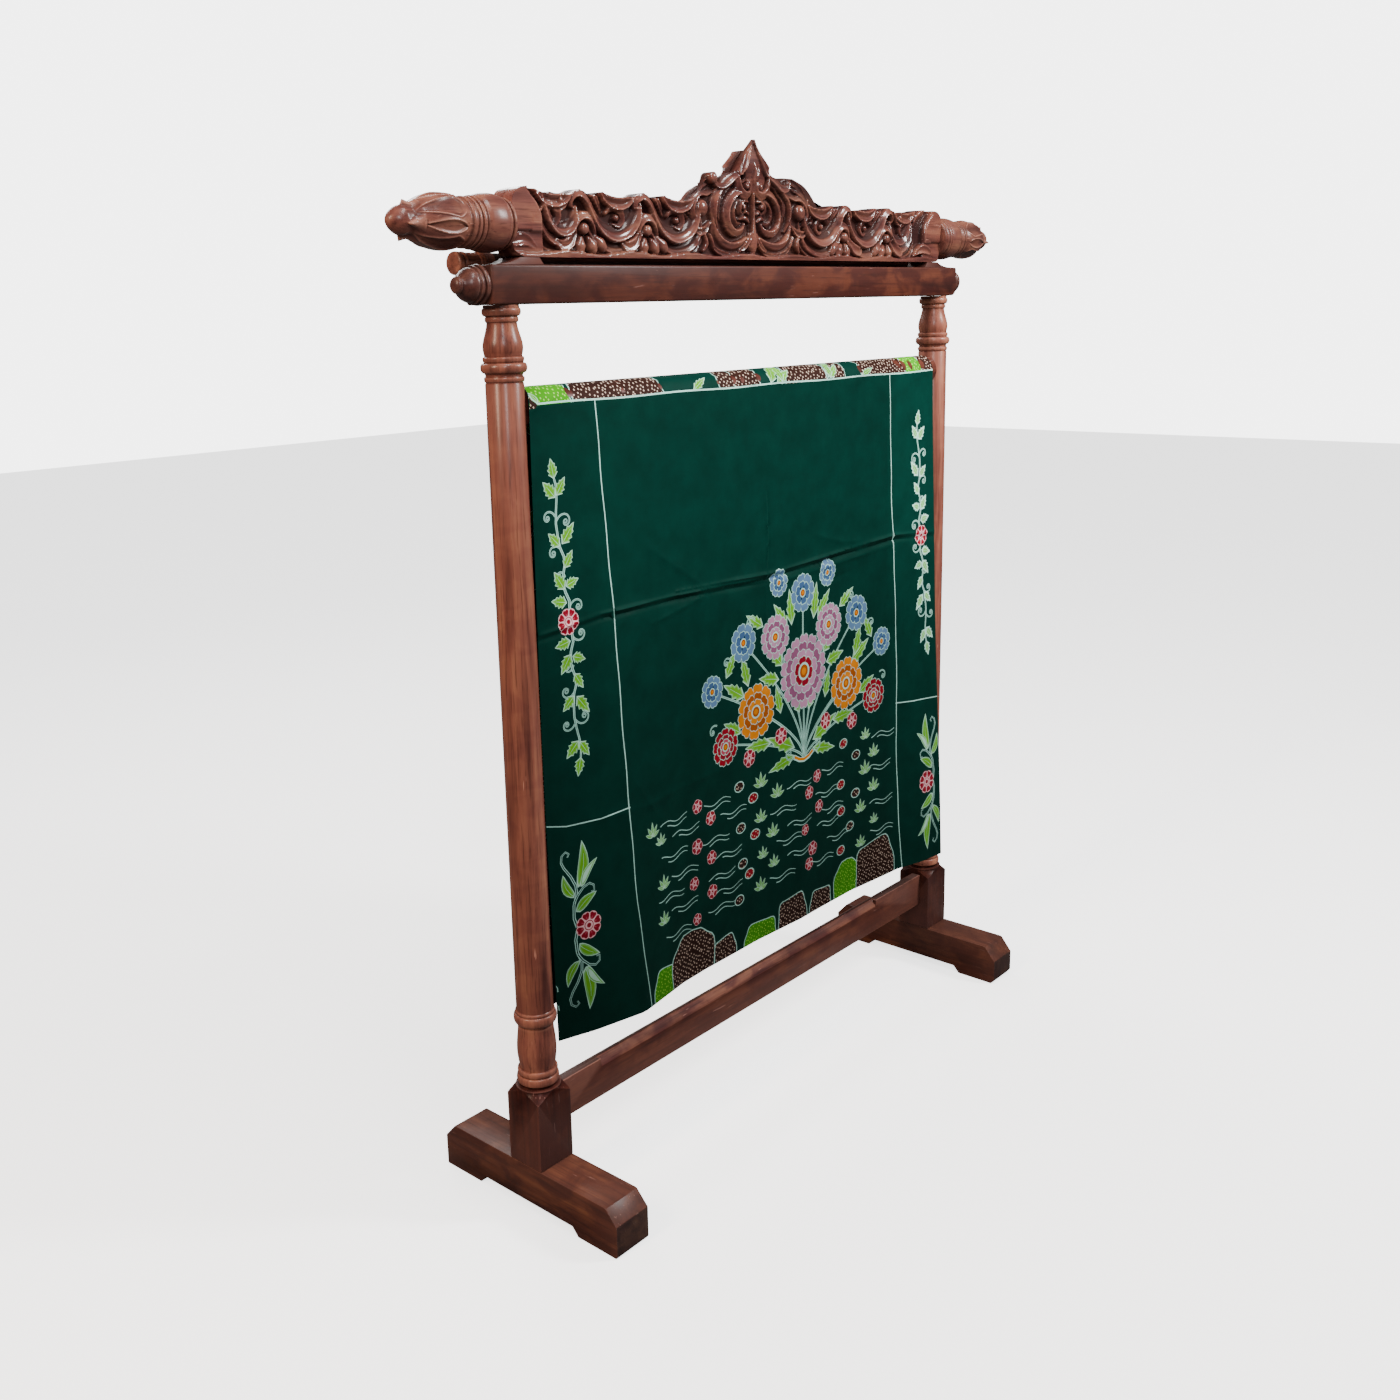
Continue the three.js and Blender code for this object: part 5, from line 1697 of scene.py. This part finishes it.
class STAND_OT_crest(bpy.types.Operator):
    """Carves the crest on both faces and saws the two feet it stands on."""

    bl_idname = "stand.crest"
    bl_label = "Carved crest"

    def execute(self, context):
        front = carved_plank("crest_front", False, CARVING_PITCH["front"])
        back = carved_plank("crest_back", True, CARVING_PITCH["back"])
        crest = joined("crest_carved", [front, back])
        crest_wood = wood("crest_wood", "x", 1.0, 9.0, cool=0.36, carved=True, coat=0.55)
        finish(crest, crest_wood, ["crest"], angle=60.0)
        # Dirt and painted shade lie deep in the carving, darker the deeper it is cut; the plain band and ends
        # are kept from rubbing and darkened with dirt
        wear_and_shade = crest.data.attributes["wear_and_shade"].data
        for vertex, mark in zip(crest.data.vertices, wear_and_shade):
            deep = CREST["depth"] - abs(vertex.co.y) / MM
            if vertex.co.z <= CARVED["bottom"] * MM or abs(vertex.co.x) >= CARVED["half"] * MM:
                mark.value = min(mark.value, 0.1) - (0.3 if vertex.co.z < CARVED["bottom"] * MM else 0.12)
            else:
                mark.value = max(-1.0, min(1.0, mark.value + 0.1 - 0.12 * max(0.0, deep - 1.5)))
        for word, side in (("left", -1), ("right", 1)):
            low, high = BEAM["top"] + JOINT_GAP, CREST["bottom"] - JOINT_GAP
            outline = [(side * 486, low), (side * 584, low)]
            outline += [(side * (584 - 55 * t ** 0.6), low + (high - low) * t ** 1.6)
                        for t in (0.2, 0.4, 0.6, 0.8, 1.0)]
            outline += [(side * 494, high)]
            foot = sawn("crest_foot_%s_sawn" % word, outline, "y", -20, 20)
            soften(foot, 1.2, 2)
            foot_wood = wood("crest_foot_wood_" + word, "x", 0.36, side + 4.0, gloss=0.5, coat=0.05)
            finish(foot, foot_wood, ["crest_foot_" + word])
        return {"FINISHED"}


class STAND_OT_finials(bpy.types.Operator):
    """Turns the two finials and carves their buds into hollow petals."""

    bl_idname = "stand.finials"
    bl_label = "Carved finials"

    def execute(self, context):
        for word, side in (("left", -1), ("right", 1)):
            start = side * (CREST["half"] + JOINT_GAP)
            points, place = profile_points(FINIAL_TURNING, 2.4), (start, 0, CREST["axis"])
            finial = turned("finial_%s_turned" % word, points, place, (side, 0, 0), 216)
            marks = []
            for vertex in finial.data.vertices:
                out = side * (vertex.co.x / MM - start)
                y, z = vertex.co.y / MM, vertex.co.z / MM - CREST["axis"]
                radius = math.hypot(y, z)
                if out < BUD_START or radius < 0.5:
                    continue
                proud = self.carved(out, math.atan2(z, -y), radius)
                marks.append((vertex.index, proud))
                grown = radius + proud
                vertex.co.y *= grown / radius
                vertex.co.z = (CREST["axis"] + z * grown / radius) * MM
            bud_wood = wood("finial_wood_" + word, "x", 1.0, 3.0 * side, warm=0.1, cool=0.38, gloss=0.36)
            finish(finial, bud_wood, ["finial_" + word], worn=1.6, angle=55.0)
            # The bud's raised rims are made lighter, partly wear and partly painted light, and its hollows
            # darker, partly dirt and partly painted shade
            wear_and_shade = finial.data.attributes["wear_and_shade"].data
            for index, proud in marks:
                value = wear_and_shade[index].value + proud * (0.3 if proud > 0 else 0.1)
                wear_and_shade[index].value = max(-1.0, min(1.0, value))
        return {"FINISHED"}

    @staticmethod
    def carved(out, around, radius):
        """How far the bud is carved in or left proud (mm).

        It has four wide hollows with lenses between them, and turned-out tips.
        """
        quarter = math.pi / 2
        aside = abs(((around + 0.23) / quarter + 0.5) % 1.0 - 0.5) * quarter * radius
        across = quarter / 2 * radius - aside
        proud = 0.0
        t = (out - 84.0) / 74.0
        if 0.0 < t < 1.0:
            ends = min(1.0, t / 0.06, (1.0 - t) / 0.06)
            half = 15.0 * min(1.0, t / 0.22) ** 0.5 * (1.0 - max(0.0, t - 0.22) / 0.78) ** 0.7
            share = across / max(half, 0.3)
            if share < 1.0:
                proud = -2.8 * (1.0 - share ** 3) * min(1.0, t / 0.12) * min(1.0, (1.0 - t) / 0.3)
            proud += 1.0 * math.exp(-(((across - half - 0.6) / 1.5) ** 2)) * ends
        t = (out - 87.0) / 62.0
        if 0.0 < t < 1.0:
            half = 8.2 * math.sin(math.pi * t ** 0.74)
            if aside < half:
                proud -= 2.2 * (1.0 - (aside / half) ** 3)
            ends = min(1.0, t / 0.06, (1.0 - t) / 0.06)
            proud += 1.0 * math.exp(-(((aside - half - 0.6) / 1.4) ** 2)) * ends
        t = (out - 148.0) / 23.0
        if 0.0 < t < 1.05:
            width = 8.0 * max(0.0, 1.0 - t) ** 0.8 + 1.4
            fall = min(1.0, (1.05 - t) / 0.08)
            if aside < width:
                proud += (1.0 + 6.2 * t ** 1.5) * max(0.0, 1.0 - (aside / width) ** 2) * fall
            else:
                proud -= 1.6 * math.sin(math.pi * min(1.0, t)) * min(1.0, (aside - width) / 3.0)
        return proud


class STAND_PT_panel(bpy.types.Panel):
    """Lists the stand's settings and the steps that make it."""

    bl_label = "Batik stand"
    bl_idname = "STAND_PT_panel"
    bl_space_type = "VIEW_3D"
    bl_region_type = "UI"
    bl_category = "Batik stand"

    def draw(self, context):
        for group in (context.scene.stand_sizes, context.scene.stand_finishes):
            for field in group.bl_rna.properties.keys():
                if field not in ("rna_type", "name"):
                    self.layout.prop(group, field)
        for step in STEPS:
            self.layout.operator(step.bl_idname)


STEPS = [
    STAND_OT_stage, STAND_OT_cloth, STAND_OT_posts, STAND_OT_rails, STAND_OT_feet, STAND_OT_stretcher,
    STAND_OT_beam, STAND_OT_crest, STAND_OT_finials,
]
CLASSES = [StandFinishes, StandSizes, STAND_PT_panel] + STEPS


def register():
    for item in CLASSES:
        bpy.utils.register_class(item)
    bpy.types.Scene.stand_finishes = PointerProperty(type=StandFinishes)
    bpy.types.Scene.stand_sizes = PointerProperty(type=StandSizes)


def unregister():
    del bpy.types.Scene.stand_sizes
    del bpy.types.Scene.stand_finishes
    for item in reversed(CLASSES):
        bpy.utils.unregister_class(item)


def main():
    register()
    bpy.ops.stand.stage()
    bpy.ops.stand.cloth()
    bpy.ops.stand.posts()
    bpy.ops.stand.rails()
    bpy.ops.stand.feet()
    bpy.ops.stand.stretcher()
    bpy.ops.stand.beam()
    bpy.ops.stand.crest()
    bpy.ops.stand.finials()


if __name__ == "__main__":
    main()
